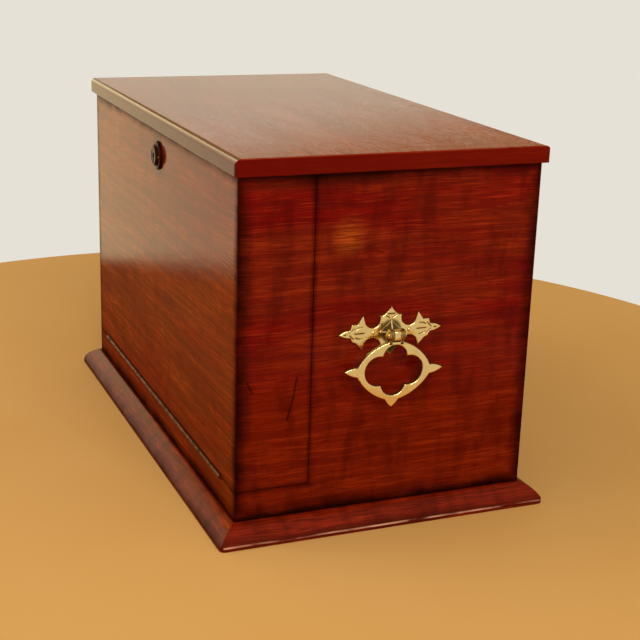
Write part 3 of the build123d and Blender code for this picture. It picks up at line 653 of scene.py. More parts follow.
    def lid_edges(
        self, tree: NodeTree, colour: NodeSocket, cover: NodeSocket, facing: Sequence[NodeSocket],
        ends: NodeSocket,
    ) -> tuple[NodeSocket, NodeSocket]:
        """Colour and polish of the lid, with painted shade on its edge faces and a pale strip on the front
        rounding.

        Args:
            tree: the material's tree.
            colour: the colour so far.
            cover: how much polish there is so far.
            facing: the surface's direction.
            ends: how far it looks sideways, from 0 to 1.

        Returns:
            The colour and the polish.
        """
        fronts = made(tree, "ShaderNodeMath", {0: facing[1]}, operation="ABSOLUTE")
        # The rounding along the front is painted pale grey-brown, short of its ends: wear, and a painted
        # reflection.
        rounding = [
            (facing[1], -0.05, -0.25, 0.0, 0.9),
            (facing[1], -0.6, -0.9, 1.0, 0.0),
            (ends, 0.0, 0.3, 1.0, 0.0),
        ]
        # Painted shade: upright faces darker, the front and back faces darker still.
        layers = (
            ([(facing[2], 0.0, 0.5, 0.75, 0.0)], self.deep),
            ([(fronts, 0.3, 0.75, 0.0, 0.6)], self.edge_face_shade),
            (rounding, self.rounding_wear_and_sheen),
        )
        colour = layered(tree, colour, [(product(tree, [], ramps), shade) for ramps, shade in layers])
        # The polish is thin on the front edge and nearly gone from the ends.
        cover = product(tree, [cover], [(fronts, 0.6, 1.0, 1.0, 0.34), (ends, 0.0, 0.9, 1.0, 0.1)])
        return colour, cover

    def paint(self, tree: NodeTree, shader: Node) -> None:
        """Lay the finish: wood, scratches, dirt, wear, and the surface of the polish.

        Args:
            tree: the material's tree.
            shader: its shader.
        """
        board, xyz = self.board_place(tree)
        fibres, ragged = self.noise(tree, board, FIBRES), self.noise(tree, board, RAGGED)
        normal = add_node(tree, "ShaderNodeTexCoord").outputs["Normal"]
        facing = add_node(tree, "ShaderNodeSeparateXYZ", {0: normal}).outputs
        ends = made(tree, "ShaderNodeMath", {0: facing[0]}, operation="ABSOLUTE")
        edge = self.edge_distance(tree, xyz)
        colour = self.wood(tree, board, xyz, fibres)
        if self.scratches:
            colour = self.scratched(tree, colour, xyz)
        colour, dirt_and_shade = self.soiled_and_shaded(tree, colour, edge, xyz, ragged)
        # Pale line on the arrises of the ends: wear, and a painted highlight.
        if self.wear_and_highlight_share:
            colour = self.wear_and_highlight(tree, colour, edge, board, ends)
        if dirt_and_shade is not None:
            # Grime is matt, and painted shade is kept matt too, so the polish shows less over both. It is
            # also thin towards the foot.
            clean = (dirt_and_shade, 0.0, 1.0, self.coat, self.darkened_coat * self.coat)
            cover = product(tree, [], [clean, (xyz[2], 0.03, 0.13, self.foot_coat, 1.0)])
            if self.arris is Arris.LID:
                colour, cover = self.lid_edges(tree, colour, cover, facing, ends)
            tree.links.new(cover, shader.inputs["Coat Weight"])
        # Open pores 0.2 mm deep, and the slow ripple of a board planed by hand.
        pores = made(tree, "ShaderNodeBump", {"Height": fibres, "Strength": 0.10, "Distance": 0.2 * MM})
        field = {"Vector": self.stretched(tree, board, 55, 35), "Scale": 1.0, "Detail": 2.0}
        ripple = made(tree, "ShaderNodeTexNoise", field)
        bump = {"Height": ripple, "Strength": self.ripple, "Distance": 0.6 * MM, "Normal": pores}
        waves = made(tree, "ShaderNodeBump", bump)
        smear = made(tree, "ShaderNodeMapRange", {"Value": ragged, "To Min": 0.30, "To Max": 0.46})
        wire(
            tree, shader,
            {"Base Color": colour, "Roughness": smear, "Normal": waves, "Coat Normal": waves},
            {"Specular IOR Level": 0.0, "Coat Weight": self.coat, "Coat Roughness": self.gloss,
             "Coat IOR": self.coat_ior},
        )


@dataclass(frozen=True)
class CopperAlloy(Finish):
    """Brass: a warm metal whose hollows hold brown tarnish and whose high places are worn bright.
    On the castings the same brown also lays painted shade.

    The scales count patterns per metre: patches of tarnish are about 6 mm across and
    polishing marks about 1.4 mm apart.
    """

    bright: str
    tarnish: str
    rough: float
    tarnish_share: float
    carved: bool = False
    patch_scale: float = 170.0
    mark_scale: float = 700.0
    mark_depth: float = 0.1
    dulling: float = 0.3
    dullest: float = 0.8

    def paint(self, tree: NodeTree, shader: Node) -> None:
        """Lay the metal, its tarnish and the polishing marks.

        Args:
            tree: the new material's tree.
            shader: its shader.
        """
        place = add_node(tree, "ShaderNodeTexCoord").outputs["Object"]
        field = {"Vector": place, "Scale": self.patch_scale, "Detail": 3.0, "Roughness": 0.5}
        patches = made(tree, "ShaderNodeTexNoise", field)
        marks = made(tree, "ShaderNodeTexNoise", {"Vector": place, "Scale": self.mark_scale, "Detail": 2.0})
        cut = {"Value": patches, "From Min": 0.45, "From Max": 0.78, "To Max": self.tarnish_share}
        dull = made(tree, "ShaderNodeMapRange", cut)
        if self.carved:
            # The castings' field holds tarnish in their hollows and painted shade on rims, facets and behind
            # the drop.
            tarnish_and_shade = add_node(tree, "ShaderNodeAttribute", attribute_name=TARNISH_AND_SHADE).outputs["Fac"]
            dull = made(tree, "ShaderNodeMath", {0: dull, 1: tarnish_and_shade}, operation="MAXIMUM")
        colour = layered(tree, linear(self.bright), [(dull, self.tarnish)])
        duller = min(self.rough + self.dulling, self.dullest)
        rough = made(tree, "ShaderNodeMapRange", {"Value": dull, "To Min": self.rough, "To Max": duller})
        bump = {"Height": marks, "Strength": 0.08, "Distance": self.mark_depth * MM}
        normal = made(tree, "ShaderNodeBump", bump)
        wire(tree, shader, {"Base Color": colour, "Roughness": rough, "Normal": normal}, {"Metallic": 1.0})


@dataclass(frozen=True)
class PolishedSteel(Finish):
    """Cold-worked steel with fine draw marks and faint oil-brown stains.

    The marks are 17 mm long and 0.4 mm apart: their scales count them per metre.
    """

    name: str = "drawn_steel"
    bright: str = "#9A948A"
    stained: str = "#6E655A"
    marks: tuple[float, float, float] = (60.0, 2500.0, 2500.0)

    def paint(self, tree: NodeTree, shader: Node) -> None:
        """Lay the steel and its draw marks.

        Args:
            tree: the new material's tree.
            shader: its shader.
        """
        place = add_node(tree, "ShaderNodeTexCoord").outputs["Object"]
        drawn = made(tree, "ShaderNodeVectorMath", {0: place, 1: self.marks}, operation="MULTIPLY")
        marks = made(tree, "ShaderNodeTexNoise", {"Vector": drawn, "Scale": 1.0, "Detail": 3.0})
        colour = layered(tree, linear(self.bright), [(marks, self.stained)])
        rough = made(tree, "ShaderNodeMapRange", {"Value": marks, "To Min": 0.25, "To Max": 0.5})
        wire(tree, shader, {"Base Color": colour, "Roughness": rough}, {"Metallic": 1.0})


@dataclass(frozen=True)
class Skiver(Finish):
    """Thin dyed sheepskin as it is laid on a writing surface: pebbled, darker in its creases.

    The scales count patterns per metre: pebbles are about 1.2 mm across and worn places
    about 60 mm.
    """

    dye: str
    worn: str
    creased: str = "#0B0F0A"
    pebble_scale: float = 850.0
    wear_scale: float = 17.0
    pebble_depth: float = 0.2
    rough: float = 0.42

    def paint(self, tree: NodeTree, shader: Node) -> None:
        """Lay the dye, its wear and the pebbles.

        Args:
            tree: the new material's tree.
            shader: its shader.
        """
        place = add_node(tree, "ShaderNodeTexCoord").outputs["Object"]
        pebbles = made(tree, "ShaderNodeTexVoronoi", {"Vector": place, "Scale": self.pebble_scale})
        fading = made(
            tree, "ShaderNodeTexNoise", {"Vector": place, "Scale": self.wear_scale, "Detail": 4.0}
        )
        faded = {"Value": fading, "From Min": 0.45, "From Max": 0.75, "To Max": 0.7}
        creased = {"Value": pebbles, "From Min": 0.25, "From Max": 0.75, "To Max": 0.55}
        layers = ((faded, self.worn), (creased, self.creased))
        layers = [(made(tree, "ShaderNodeMapRange", ramp), shade) for ramp, shade in layers]
        colour = layered(tree, linear(self.dye), layers)
        normal = made(
            tree, "ShaderNodeBump",
            {"Height": pebbles, "Strength": 0.35, "Distance": self.pebble_depth * MM}, invert=True,
        )
        wire(tree, shader, {"Base Color": colour, "Normal": normal}, {"Roughness": self.rough})


@dataclass(frozen=True)
class CutGlass(Finish):
    """Clear lead glass with a faint green cast and ripples about 11 mm apart, 90 to the metre."""

    name: str = "cut_glass"
    clear: str = "#F2F8F4"
    cast: str = "#DCEBE3"
    ripple_scale: float = 90.0
    ripple_depth: float = 0.5
    refraction: float = 1.54
    rough: float = 0.02

    def paint(self, tree: NodeTree, shader: Node) -> None:
        """Lay the glass and its ripples.

        Args:
            tree: the new material's tree.
            shader: its shader.
        """
        place = add_node(tree, "ShaderNodeTexCoord").outputs["Object"]
        ripple = made(
            tree, "ShaderNodeTexNoise", {"Vector": place, "Scale": self.ripple_scale, "Detail": 2.0}
        )
        normal = made(
            tree, "ShaderNodeBump",
            {"Height": ripple, "Strength": 0.15, "Distance": self.ripple_depth * MM},
        )
        tint = layered(tree, linear(self.clear), [(ripple, self.cast)])
        wire(
            tree, shader, {"Base Color": tint, "Normal": normal},
            {"Roughness": self.rough, "IOR": self.refraction, "Transmission Weight": 1.0},
        )


@dataclass(frozen=True)
class LacqueredTop(Finish):
    """Pale yellow-brown lacquer of a plain table, with clouds about 200 mm across, 5 to the metre."""

    name: str = "pale_lacquered_top"
    deep: str = "#CC9C58"
    pale: str = "#D3A668"
    cloud_scale: float = 5.0

    def paint(self, tree: NodeTree, shader: Node) -> None:
        """Lay the lacquer and its clouds.

        Args:
            tree: the new material's tree.
            shader: its shader.
        """
        place = add_node(tree, "ShaderNodeTexCoord").outputs["Object"]
        cloud = made(
            tree, "ShaderNodeTexNoise", {"Vector": place, "Scale": self.cloud_scale, "Detail": 3.0}
        )
        colour = layered(tree, linear(self.deep), [(cloud, self.pale)])
        wire(tree, shader, {"Base Color": colour}, {"Roughness": 0.5, "Specular IOR Level": 0.1})


# Case and lid: mahogany, french polished. The ends show a bright patch of figure high
# behind the joint, with grime and painted shade along every arris and a few dark scratches on the right one.
END_POLISH = FrenchPolish(
    "french_polished_mahogany_ends", Grain.END, Arris.BODY, body="#820602", warm="#8C2808",
    fleck="#A4300C", fleck_share=0.5, coat=0.45, edge_reach=11.0, edge_share=0.95,
    figure=(-33.0, 211.0, 17.0),
    scratches=(
        (-67.8, 114.9, -70.3, 100.7), (-70.3, 100.7, -74.3, 85.2), (-103.5, 114.5, -99.9, 107.7),
    ),
)
# The front is a thin, very glossy polish over browner wood, with grime and painted shade round
# the escutcheon and painted shade above the plinth.
FRONT_POLISH = FrenchPolish(
    "french_polished_mahogany_front", Grain.FRONT, Arris.BODY, deep="#4C1202", body="#7A2203",
    warm="#883404", fleck="#B4501A", fleck_share=0.12, dash_share=0.15, gloss=0.02, coat=0.28,
    coat_ior=1.37, edge_reach=8.0, edge_share=0.85, foot_shade_reach=8.0, cross_share=0.12, ripple=0.05,
    foot_coat=0.4, ring=(BOX.lock_x, BOX.keyhole_z, 11.0), shift=0.31,
)
BACK_POLISH = replace(FRONT_POLISH, name="french_polished_mahogany_back", ring=None, shift=0.44)
# Lid: painted shade on the edge faces, a pale front rounding, and a pale line of wear and painted highlight
# on the arrises of the ends.
LID_POLISH = FrenchPolish(
    "french_polished_mahogany_lid", Grain.LID, Arris.LID, deep="#5E0802", body="#961A02",
    warm="#A62C06", fleck="#B4481A", fleck_share=0.2, dash_share=0.15, gloss=0.025, coat_ior=1.37,
    edge_reach=2.0, edge_share=0.1, wear_and_highlight_share=0.7, cross_share=0.12, ripple=0.06, shift=0.57,
)
# Plinth mouldings: darker, with painted shade along their outer arris, and on the ends a pale
# line of wear and painted highlight along that arris.
PLINTH_SIDE_POLISH = FrenchPolish(
    "french_polished_mahogany_plinth_ends", Grain.END, Arris.PLINTH, deep="#440602", body="#741204",
    warm="#8E2408", fleck_share=0.3, coat=0.5, coat_ior=1.3, edge_reach=2.2, edge_share=0.5,
    worn="#E0A58A", wear_and_highlight_share=0.9, shift=0.83,
)
PLINTH_FRONT_POLISH = FrenchPolish(
    "french_polished_mahogany_plinth_front", Grain.FRONT, Arris.PLINTH, deep="#4C1002",
    body="#782004", warm="#8A3008", fleck_share=0.3, coat=0.36, coat_ior=1.3, edge_reach=3.6,
    edge_share=0.7, shift=0.91,
)
# Inside: mahogany that was only oiled, paler and nearly matt.
INNER_POLISH = FrenchPolish(
    "oiled_mahogany_inside", Grain.FRONT, deep="#4A1808", body="#86391A", warm="#9E4A22",
    fleck="#B5652F", gloss=0.25, coat=0.4, shift=0.2,
)
INNER_FLAT = replace(INNER_POLISH, name="oiled_mahogany_flat", grain=Grain.LID, shift=0.4)
# Handles: yellow brass, cast and polished, with grime left in the engraving and painted shade on
# the rims, the boss and the plate behind the drop.
CAST_BRASS = CopperAlloy("polished_cast_brass", "#F8DC9C", "#33200A", 0.17, 0.10, carved=True)
PLAIN_CAST_BRASS = CopperAlloy("polished_cast_brass_plain", "#F6D690", "#7A5018", 0.19, 0.16)
# Escutcheon: turned brass that has gone nearly black, and its pins.
DARK_BRASS = CopperAlloy("browned_turned_brass", "#2E120A", "#140804", 0.5, 0.6, carved=True)
PLAIN_DARK_BRASS = CopperAlloy("browned_brass_pins", "#6A4A30", "#1B100A", 0.26, 0.6)
# Hinges: rolled brass, clean inside the box and brown where it shows in front.
ROLLED_BRASS = CopperAlloy("rolled_brass", "#E2BC74", "#7A5520", 0.28, 0.45)
AGED_BRASS = CopperAlloy("aged_rolled_brass", "#562C16", "#1C1008", 0.5, 0.85)
# Bolt of the lock, the two leathers with their gold leaf and thread, and the inkwells.
STEEL = PolishedSteel()
GREEN_SKIVER = Skiver("green_skiver", "#24402A", "#3E5A3C")
THREAD = Skiver("waxed_linen_thread", "#B09A6A", "#C8B484")
GILDING = CopperAlloy("gold_leaf_tooling", "#F0C659", "#8A5A1C", 0.32, 0.5)
CLEAR_GLASS = CutGlass()
TABLE_TOP = LacqueredTop()


class Frame:
    """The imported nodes, by name."""

    def __init__(self) -> None:
        """Load the frame."""
        self.nodes: dict[str, Object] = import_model()["nodes"]

    def dress(self, finish: Finish, *names: str) -> None:
        """Give CAD nodes a finish.

        Args:
            finish: what they are made of.
            names: the nodes.
        """
        for name in names:
            materials = self.nodes[name].data.materials
            for index in range(len(materials)):
                materials[index] = finish.material()
            LOG.info("node %s in %s", name, finish.name)


@dataclass(frozen=True)
class Dress:
    """How a new piece joins the object: what it rides on, stands for and is made of."""

    body: str
    slot: str
    finish: Finish
    replaces: tuple[str, ...] = ()

    def onto(self, piece: Object) -> Object:
        """Finish a piece and make it ride.

        Args:
            piece: the piece, at the origin.

        Returns:
            The same piece.
        """
        piece.data.materials.clear()
        piece.data.materials.append(self.finish.material())
        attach(piece, self.body)
        if self.replaces:
            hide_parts(*self.replaces)
        LOG.info("piece %s on %s in %s", piece.name, self.body, self.finish.name)
        return piece


def place_mesh(name: str, mesh: Mesh) -> Object:
    """Put a mesh in the scene.

    Args:
        name: the object's name.
        mesh: its mesh, drawn in place.

    Returns:
        The object, at the origin.
    """
    piece = bpy.data.objects.new(name, mesh)
    bpy.context.scene.collection.objects.link(piece)
    return piece


def settled(piece: Object) -> Object:
    """Turn a piece with modifiers into a plain mesh.

    Args:
        piece: the piece.

    Returns:
        The same object with its final mesh and no modifier.
    """
    graph = bpy.context.evaluated_depsgraph_get()
    graph.update()
    final = bpy.data.meshes.new_from_object(piece.evaluated_get(graph), depsgraph=graph)
    piece.modifiers.clear()
    piece.data = final
    final.name = piece.name
    return piece


Path = Sequence[tuple[float, float]]


def arc_points(start: tuple, middle: tuple, end: tuple, spacing: float) -> list[tuple[float, float]]:
    """Points on the arc through three points, without its first.

    Args:
        start: first point.
        middle: a point on the way.
        end: last point.
        spacing: distance between points.

    Returns:
        The points after the first, up to the last.
    """
    a, b, c = (complex(*point) for point in (start, middle, end))
    turn = (c - a) / (b - a)
    centre = a - (a - b) * (turn - abs(turn) ** 2) / (2j * turn.imag)
    radius = abs(a - centre)
    first, through, last = (np.angle(point - centre) for point in (a, b, c))
    sweep = (last - first) % (2 * math.pi)
    if (through - first) % (2 * math.pi) > sweep:
        sweep -= 2 * math.pi
    count = max(2, math.ceil(abs(sweep) * radius / spacing))
    steps = [first + sweep * (index + 1) / count for index in range(count)]
    return [(centre.real + radius * math.cos(s), centre.imag + radius * math.sin(s)) for s in steps]


def line_points(start: tuple, end: tuple, spacing: float) -> list[tuple[float, float]]:
    """Points on a straight line, without its first.

    Args:
        start: first point.
        end: last point.
        spacing: distance between points.

    Returns:
        The points after the first, up to the last.
    """
    count = max(1, math.ceil(math.dist(start, end) / spacing))
    (u0, v0), (u1, v1) = start, end
    return [(u0 + (u1 - u0) * step / count, v0 + (v1 - v0) * step / count) for step in range(1, count + 1)]


def trace(start: tuple, steps: Sequence[Path], spacing: float) -> list[tuple[float, float]]:
    """Points along a path of lines and arcs.

    Args:
        start: first point.
        steps: the end of a line, or an arc's middle and end.
        spacing: distance between points.

    Returns:
        All the points, with the first.
    """
    points = [start]
    for step in steps:
        here = points[-1]
        if len(step) == 1:
            points += line_points(here, step[0], spacing)
        else:
            points += arc_points(here, step[0], step[1], spacing)
    return points


def mirrored_loop(half: Path) -> np.ndarray:
    """Closed outline from its right half, drawn from the top down.

    Args:
        half: points of the right half, both ends on the middle line.

    Returns:
        The outline's points.
    """
    return np.array(list(half) + [(-u, v) for u, v in reversed(half[1:-1])])


def circle_loop(radius: float, spacing: float, centre: tuple = (0.0, 0.0)) -> np.ndarray:
    """Closed round outline.

    Args:
        radius: its radius.
        spacing: distance between points.
        centre: its centre.

    Returns:
        The outline's points.
    """
    count = max(16, math.ceil(2 * math.pi * radius / spacing))
    turn = np.arange(count) * 2 * math.pi / count
    return np.stack([centre[0] + radius * np.cos(turn), centre[1] + radius * np.sin(turn)], axis=1)


TINY = 1e-12  # keeps a piece of no length from dividing by 0


def line_distance(points: np.ndarray, starts: np.ndarray, ends: np.ndarray) -> np.ndarray:
    """Distance from points to the nearest of some straight pieces.

    Args:
        points: the points, one row each.
        starts: where the pieces begin.
        ends: where they end.

    Returns:
        One distance for each point.
    """
    nearest = np.full(len(points), np.inf)
    for start, end in zip(starts, ends):
        run = end - start
        share = np.clip(((points - start) @ run) / max(run @ run, TINY), 0, 1)
        gap = points - (start + share[:, None] * run)
        nearest = np.minimum(nearest, np.hypot(gap[:, 0], gap[:, 1]))
    return nearest


def inside(points: np.ndarray, loops: Sequence[np.ndarray]) -> np.ndarray:
    """Which points lie inside an odd number of outlines.

    Args:
        points: the points, one row each.
        loops: the outlines, holes among them.

    Returns:
        True or False for each point.
    """
    result = np.zeros(len(points), bool)
    for loop in loops:
        following = np.roll(loop, -1, axis=0)
        for (u0, v0), (u1, v1) in zip(loop, following):
            if v0 == v1:
                continue
            crosses = (v0 > points[:, 1]) != (v1 > points[:, 1])
            reach = (u1 - u0) * (points[:, 1] - v0) / (v1 - v0) + u0
            result ^= crosses & (points[:, 0] < reach)
    return result


Height = Callable[[np.ndarray, np.ndarray], np.ndarray]


@dataclass
class Relief:
    """A flat casting cut to an outline, whose two faces are lifted by a rule.

    The first outline is the outside and the others are holes, all in millimetres.
    """

    loops: Sequence[np.ndarray]
    spacing: float
    tolerance: float = 1e-7

    def grid(self) -> np.ndarray:
        """Fill the outlines with staggered rows of points, half a spacing clear of them.

        Returns:
            The points.
        """
        low, high = self.loops[0].min(0), self.loops[0].max(0)
        row_gap = self.spacing * math.sqrt(3) / 2
        rows = np.arange(low[1], high[1], row_gap)
        points = []
        for index, v in enumerate(rows):
            shift = self.spacing / 2 * (index % 2)
            us = np.arange(low[0] + shift, high[0], self.spacing)
            points.append(np.stack([us, np.full_like(us, v)], axis=1))
        cloud = np.concatenate(points)
        cloud = cloud[inside(cloud, self.loops)]
        return cloud[self.rim_distance(cloud) > self.spacing / 2]

    def rim_distance(self, points: np.ndarray) -> np.ndarray:
        """Distance of points from the nearest outline.

        Args:
            points: the points, one row each.

        Returns:
            One distance for each.
        """
        starts = np.concatenate(list(self.loops))
        ends = np.concatenate([np.roll(loop, -1, axis=0) for loop in self.loops])
        return line_distance(points, starts, ends)

    def triangles(self) -> tuple[np.ndarray, np.ndarray]:
        """Flat triangles that fill the outlines.

        Returns:
            The points, and three point numbers for each triangle.
        """
        points = [*self.loops, self.grid()]
        edges, base = [], 0
        for loop in self.loops:
            edges += [(base + index, base + (index + 1) % len(loop)) for index in range(len(loop))]
            base += len(loop)
        cloud = np.concatenate(points)
        result = delaunay_2d_cdt([Vector(p) for p in cloud], edges, [], 0, self.tolerance)
        corners = np.array([vert[:] for vert in result[0]])
        faces = np.array([face for face in result[2] if len(face) == 3])
        middles = corners[faces].mean(axis=1)
        faces = faces[inside(middles, self.loops)]
        u, v = corners[faces][:, :, 0], corners[faces][:, :, 1]
        area = (u[:, 1] - u[:, 0]) * (v[:, 2] - v[:, 0]) - (u[:, 2] - u[:, 0]) * (v[:, 1] - v[:, 0])
        faces[area < 0] = faces[area < 0][:, ::-1]
        return corners, faces

    def build(
        self,
        name: str,
        frame: Matrix,
        front: Height,
        back: Height,
        tarnish_and_shade: Height | None = None,
        crease: float = 48,
    ) -> Object:
        """Make the casting.

        Args:
            name: the piece's name.
            frame: where the drawing's across, up and out directions lie, in metres.
            front: height of the front face from points and rim distances, in millimetres.
            back: height of the back face, likewise.
            tarnish_and_shade: how much tarnish and painted shade the front holds, likewise.
            crease: angle from which an edge stays sharp, in degrees.

        Returns:
            The piece.
        """
        corners, faces = self.triangles()
        rim = self.rim_distance(corners)
        top = np.column_stack([corners, front(corners, rim)])
        low = np.column_stack([corners, back(corners, rim)])
        count = len(corners)
        # A side that only one triangle has is on an outline, and a wall stands there.
        sides = {(int(a), int(b)): None for face in faces for a, b in zip(face, np.roll(face, -1))}
        walls = [(b, a, a + count, b + count) for a, b in sides if (b, a) not in sides]
        points = [frame @ Vector(point) * MM for point in np.concatenate([top, low])]
        shells = [tuple(map(int, face)) for face in faces]
        shells += [tuple(int(corner) + count for corner in face[::-1]) for face in faces]
        shells += walls
        if frame.to_3x3().determinant() < 0:
            shells = [shell[::-1] for shell in shells]
        used = sorted({corner for shell in shells for corner in shell})
        number = {corner: index for index, corner in enumerate(used)}
        mesh = bpy.data.meshes.new(name)
        mesh.from_pydata([points[c] for c in used], [], [[number[c] for c in shell] for shell in shells])
        mesh.update()
        level = tarnish_and_shade(corners, rim) if tarnish_and_shade else np.zeros(count)
        both = np.concatenate([level, level])
        field = mesh.attributes.new(TARNISH_AND_SHADE, "FLOAT", "POINT")
        field.data.foreach_set("value", both[used].astype(np.float32))
        mesh.shade_smooth()
        mesh.set_sharp_from_angle(angle=math.radians(crease))
        return place_mesh(name, mesh)


def joined(name: str, parts: Sequence[Object]) -> Object:
    """Join pieces into one, keeping their field of tarnish and painted shade.

    Args:
        name: the joined piece's name.
        parts: the pieces.

    Returns:
        The joined piece.
    """
    with bpy.context.temp_override(active_object=parts[0], selected_editable_objects=list(parts)):
        bpy.ops.object.join()
    parts[0].name = name
    parts[0].data.name = name
    return parts[0]


def smooth_step(low: float, high: float, values: np.ndarray) -> np.ndarray:
    """Soft step from 0 to 1 between two levels."""
    share = np.clip((values - low) / (high - low), 0, 1)
    return share * share * (3 - 2 * share)


def flat_face(height: float) -> Height:
    """Rule for a flat face at one height."""
    return lambda points, rim: np.full(len(points), height)


def rounded(half: float, rim_share: float, bevel: float) -> Height:
    """Rule for a face that is rounded at its rim.

    Args:
        half: height of the face.
        rim_share: height at the rim, as a share of that.
        bevel: width of the rounding.

    Returns:
        The rule.
    """
    return lambda points, rim: half * (
        rim_share + (1 - rim_share) * np.sqrt(1 - (1 - np.clip(rim / bevel, 0, 1)) ** 2)
    )


def rim_shade(share: float, width: float) -> Height:
    """Rule for painted shade along the rim, darkening the side walls and fading inwards over a width."""
    return lambda points, rim: share * (1 - smooth_step(0.0, width, rim))


def drawing_plane(columns: Sequence[tuple], place: tuple[float, float, float]) -> Matrix:
    """Plane that a casting is drawn on.

    Args:
        columns: directions of across, up and out.
        place: where its origin is, in millimetres.

    Returns:
        The plane.
    """
    return Matrix.Translation(place) @ Matrix(columns).transposed().to_4x4()


def stretch(steps: Sequence[Path], unit: float) -> list[list[tuple[float, float]]]:
    """Scale the steps of a path."""
    return [[(u * unit, v * unit) for u, v in step] for step in steps]


@dataclass
class DropHandle:
    """Cast handle of one end: leaf-ended back plate, faceted boss with an eye, pointed drop.

    The outlines of plate and drop are drawn in hundredths of their half widths.
    """

    side: int
    face_x: float = 195.0
    axis_x: float = 205.5
    spacing: float = 0.42
    plate_reach: float = 38.8
    plate_thickness: float = 1.8
    plate_bevel: float = 0.8
    plate_rim: float = 0.45
    swell: float = 0.35
    swell_place: float = 14.0
    swell_width: float = 5.0
    swell_start: float = 3.0
    vein_width: float = 0.36
    vein_depth: float = 0.45
    drop_reach: float = 37.2
    drop_thickness: float = 3.6
    drop_bevel: float = 0.7
    boss_reach: float = 8.2
    boss_height: float = 3.5
    boss_rim: float = 0.7
    boss_flat: float = 0.1
    boss_sunk: float = 0.4
    boss_crease: float = 14.0
    post_radius: float = 2.4
    shank_radius: float = 2.2
    shank_spacing: float = 0.8
    shank_length: float = 17.3
    eye_half: float = 3.55
    eye_width: float = 5.0
    eye_points: int = 72
    ear_radius: float = 4.18
    ear_width: float = 2.8
    ear_gap: float = 0.25
    ear_neck: float = 2.4
    pin_radius: float = 1.5
    pin_gap: float = 0.03
    lobe_points: int = 240
    crooked: float = -2.5

    @property
    def label(self) -> str:
        """Which end this is."""
        return "right" if self.side > 0 else "left"

    def plane(self, out: float) -> Matrix:
        """Drawing plane on this end: across is +Y, up is +Z, out is away from the box."""
        return drawing_plane(((0, 1, 0), (0, 0, 1), (self.side, 0, 0)), (self.side * out, 0, BOX.handle_z))

    def flank(self, y: float, outward: int) -> Matrix:
        """Drawing plane square to the pin: across is out of the box, up is +Z."""
        place = (self.side * self.axis_x, y, BOX.handle_z)
        return drawing_plane(((self.side, 0, 0), (0, 0, 1), (0, outward, 0)), place)

    def plate_loop(self) -> np.ndarray:
        """Outline of the back plate: a crest, a leaf at each end and a point below.

        Returns:
            The outline's points.
        """
        unit = self.plate_reach / 100
        steps = [
            ((7.5, 36.6), (16.2, 29.9)), ((22.2, 30.4),), ((36.6, 8.6), (49.5, 19.0)), ((53.8, 33.0),),
            ((60.4, 22.8), (64.2, 17.4)), ((75.6, 17.4),), ((76.6, 12.2), (77.8, 7.9)),
            ((90.0, 5.8), (100.0, 0.0)), ((90.0, -5.4), (77.3, -7.7)), ((75.6, -11.8), (74.2, -15.1)),
            ((67.0, -18.2),), ((61.6, -23.8), (54.6, -31.0)), ((50.2, -19.0),),
            ((37.1, -10.9), (19.1, -24.7)), ((0.0, -44.3),),
        ]
        return mirrored_loop(trace((0.0, 46.9 * unit), stretch(steps, unit), self.spacing))

    def veins(self) -> tuple[np.ndarray, np.ndarray]:
        """Draw the engraved veins of the plate, in millimetres from its middle.

        Returns:
            Where their straight pieces begin, and where they end.
        """
        lines = []
        for way in (-1, 1):
            lines += [
                [(way * 27.0, 0.0), (way * 19.8, 0.0)],
                trace((way * 26.4, 3.0), [((way * 24.4, 3.9), (way * 21.6, 4.2))], 0.5),
                trace((way * 26.4, -2.8), [((way * 24.4, -3.6), (way * 21.6, -3.8))], 0.5),
                [(way * 30.8, 0.8), (way * 27.8, 3.8)],
                [(way * 30.8, -0.8), (way * 27.8, -3.6)],
                [(way * 33.0, 0.0), (way * 35.0, 0.0)],
                [(way * 1.0, 9.6), (way * 4.2, 11.4)],
            ]
        lines.append([(-3.0, 12.4), (3.0, 12.4)])
        starts = np.concatenate([np.array(line[:-1]) for line in lines])
        ends = np.concatenate([np.array(line[1:]) for line in lines])
        return starts, ends

    def engraved(self, points: np.ndarray, narrow: float, wide: float) -> np.ndarray:
        """How deep in a vein each point is, from 0 to 1.

        Args:
            points: places on the plate.
            narrow: half width of a vein's floor, in vein widths.
            wide: half width at its lips, likewise.

        Returns:
            One share for each.
        """
        gap = line_distance(points, *self.veins())
        return 1 - smooth_step(self.vein_width * narrow, self.vein_width * wide, gap)

    def plate_face(self, points: np.ndarray, rim: np.ndarray) -> np.ndarray:
        """Height of the plate's face: a bevelled rim, a swell in each half, and the veins.

        Args:
            points: places on the plate.
            rim: their distances from its outline.

        Returns:
            One height for each.
        """
        rise = np.sqrt(1 - (1 - np.clip(rim / self.plate_bevel, 0, 1)) ** 2)
        face = self.plate_thickness * (self.plate_rim + (1 - self.plate_rim) * rise)
        away = (np.abs(points[:, 0]) - self.swell_place) / self.swell_width
        swell = self.swell * np.exp(-(away**2)) * np.clip(rim / self.swell_start, 0, 1)
        return face + swell - self.vein_depth * self.engraved(points, 0.3, 1.25)

    def plate_tarnish_and_shade(self, points: np.ndarray, rim: np.ndarray) -> np.ndarray:
        """Tarnish and painted shade of the plate: tarnish in the veins, darker round the boss,
        painted shade below it behind the drop, and along the rim.

        Args:
            points: places on the plate.
            rim: their distances from its outline.

        Returns:
            One share for each.
        """
        veins = 0.9 * self.engraved(points, 0.5, 1.6)
        heart = np.hypot(points[:, 0], points[:, 1] * 0.9)
        # Painted shade on the plate's lower point, behind the drop.
        under = smooth_step(9.0, 11.0, -points[:, 1]) * (np.abs(points[:, 0]) < 9)
        dirt_and_shade = 0.85 * (1 - smooth_step(6.5, 9.0, heart)) + 0.95 * under
        # Painted shade along the rim.
        rims = rim_shade(0.6, 0.3)(points, rim)
        return np.maximum(np.maximum(veins, rims), np.clip(dirt_and_shade, 0, 1) * smooth_step(0.2, 0.9, rim))

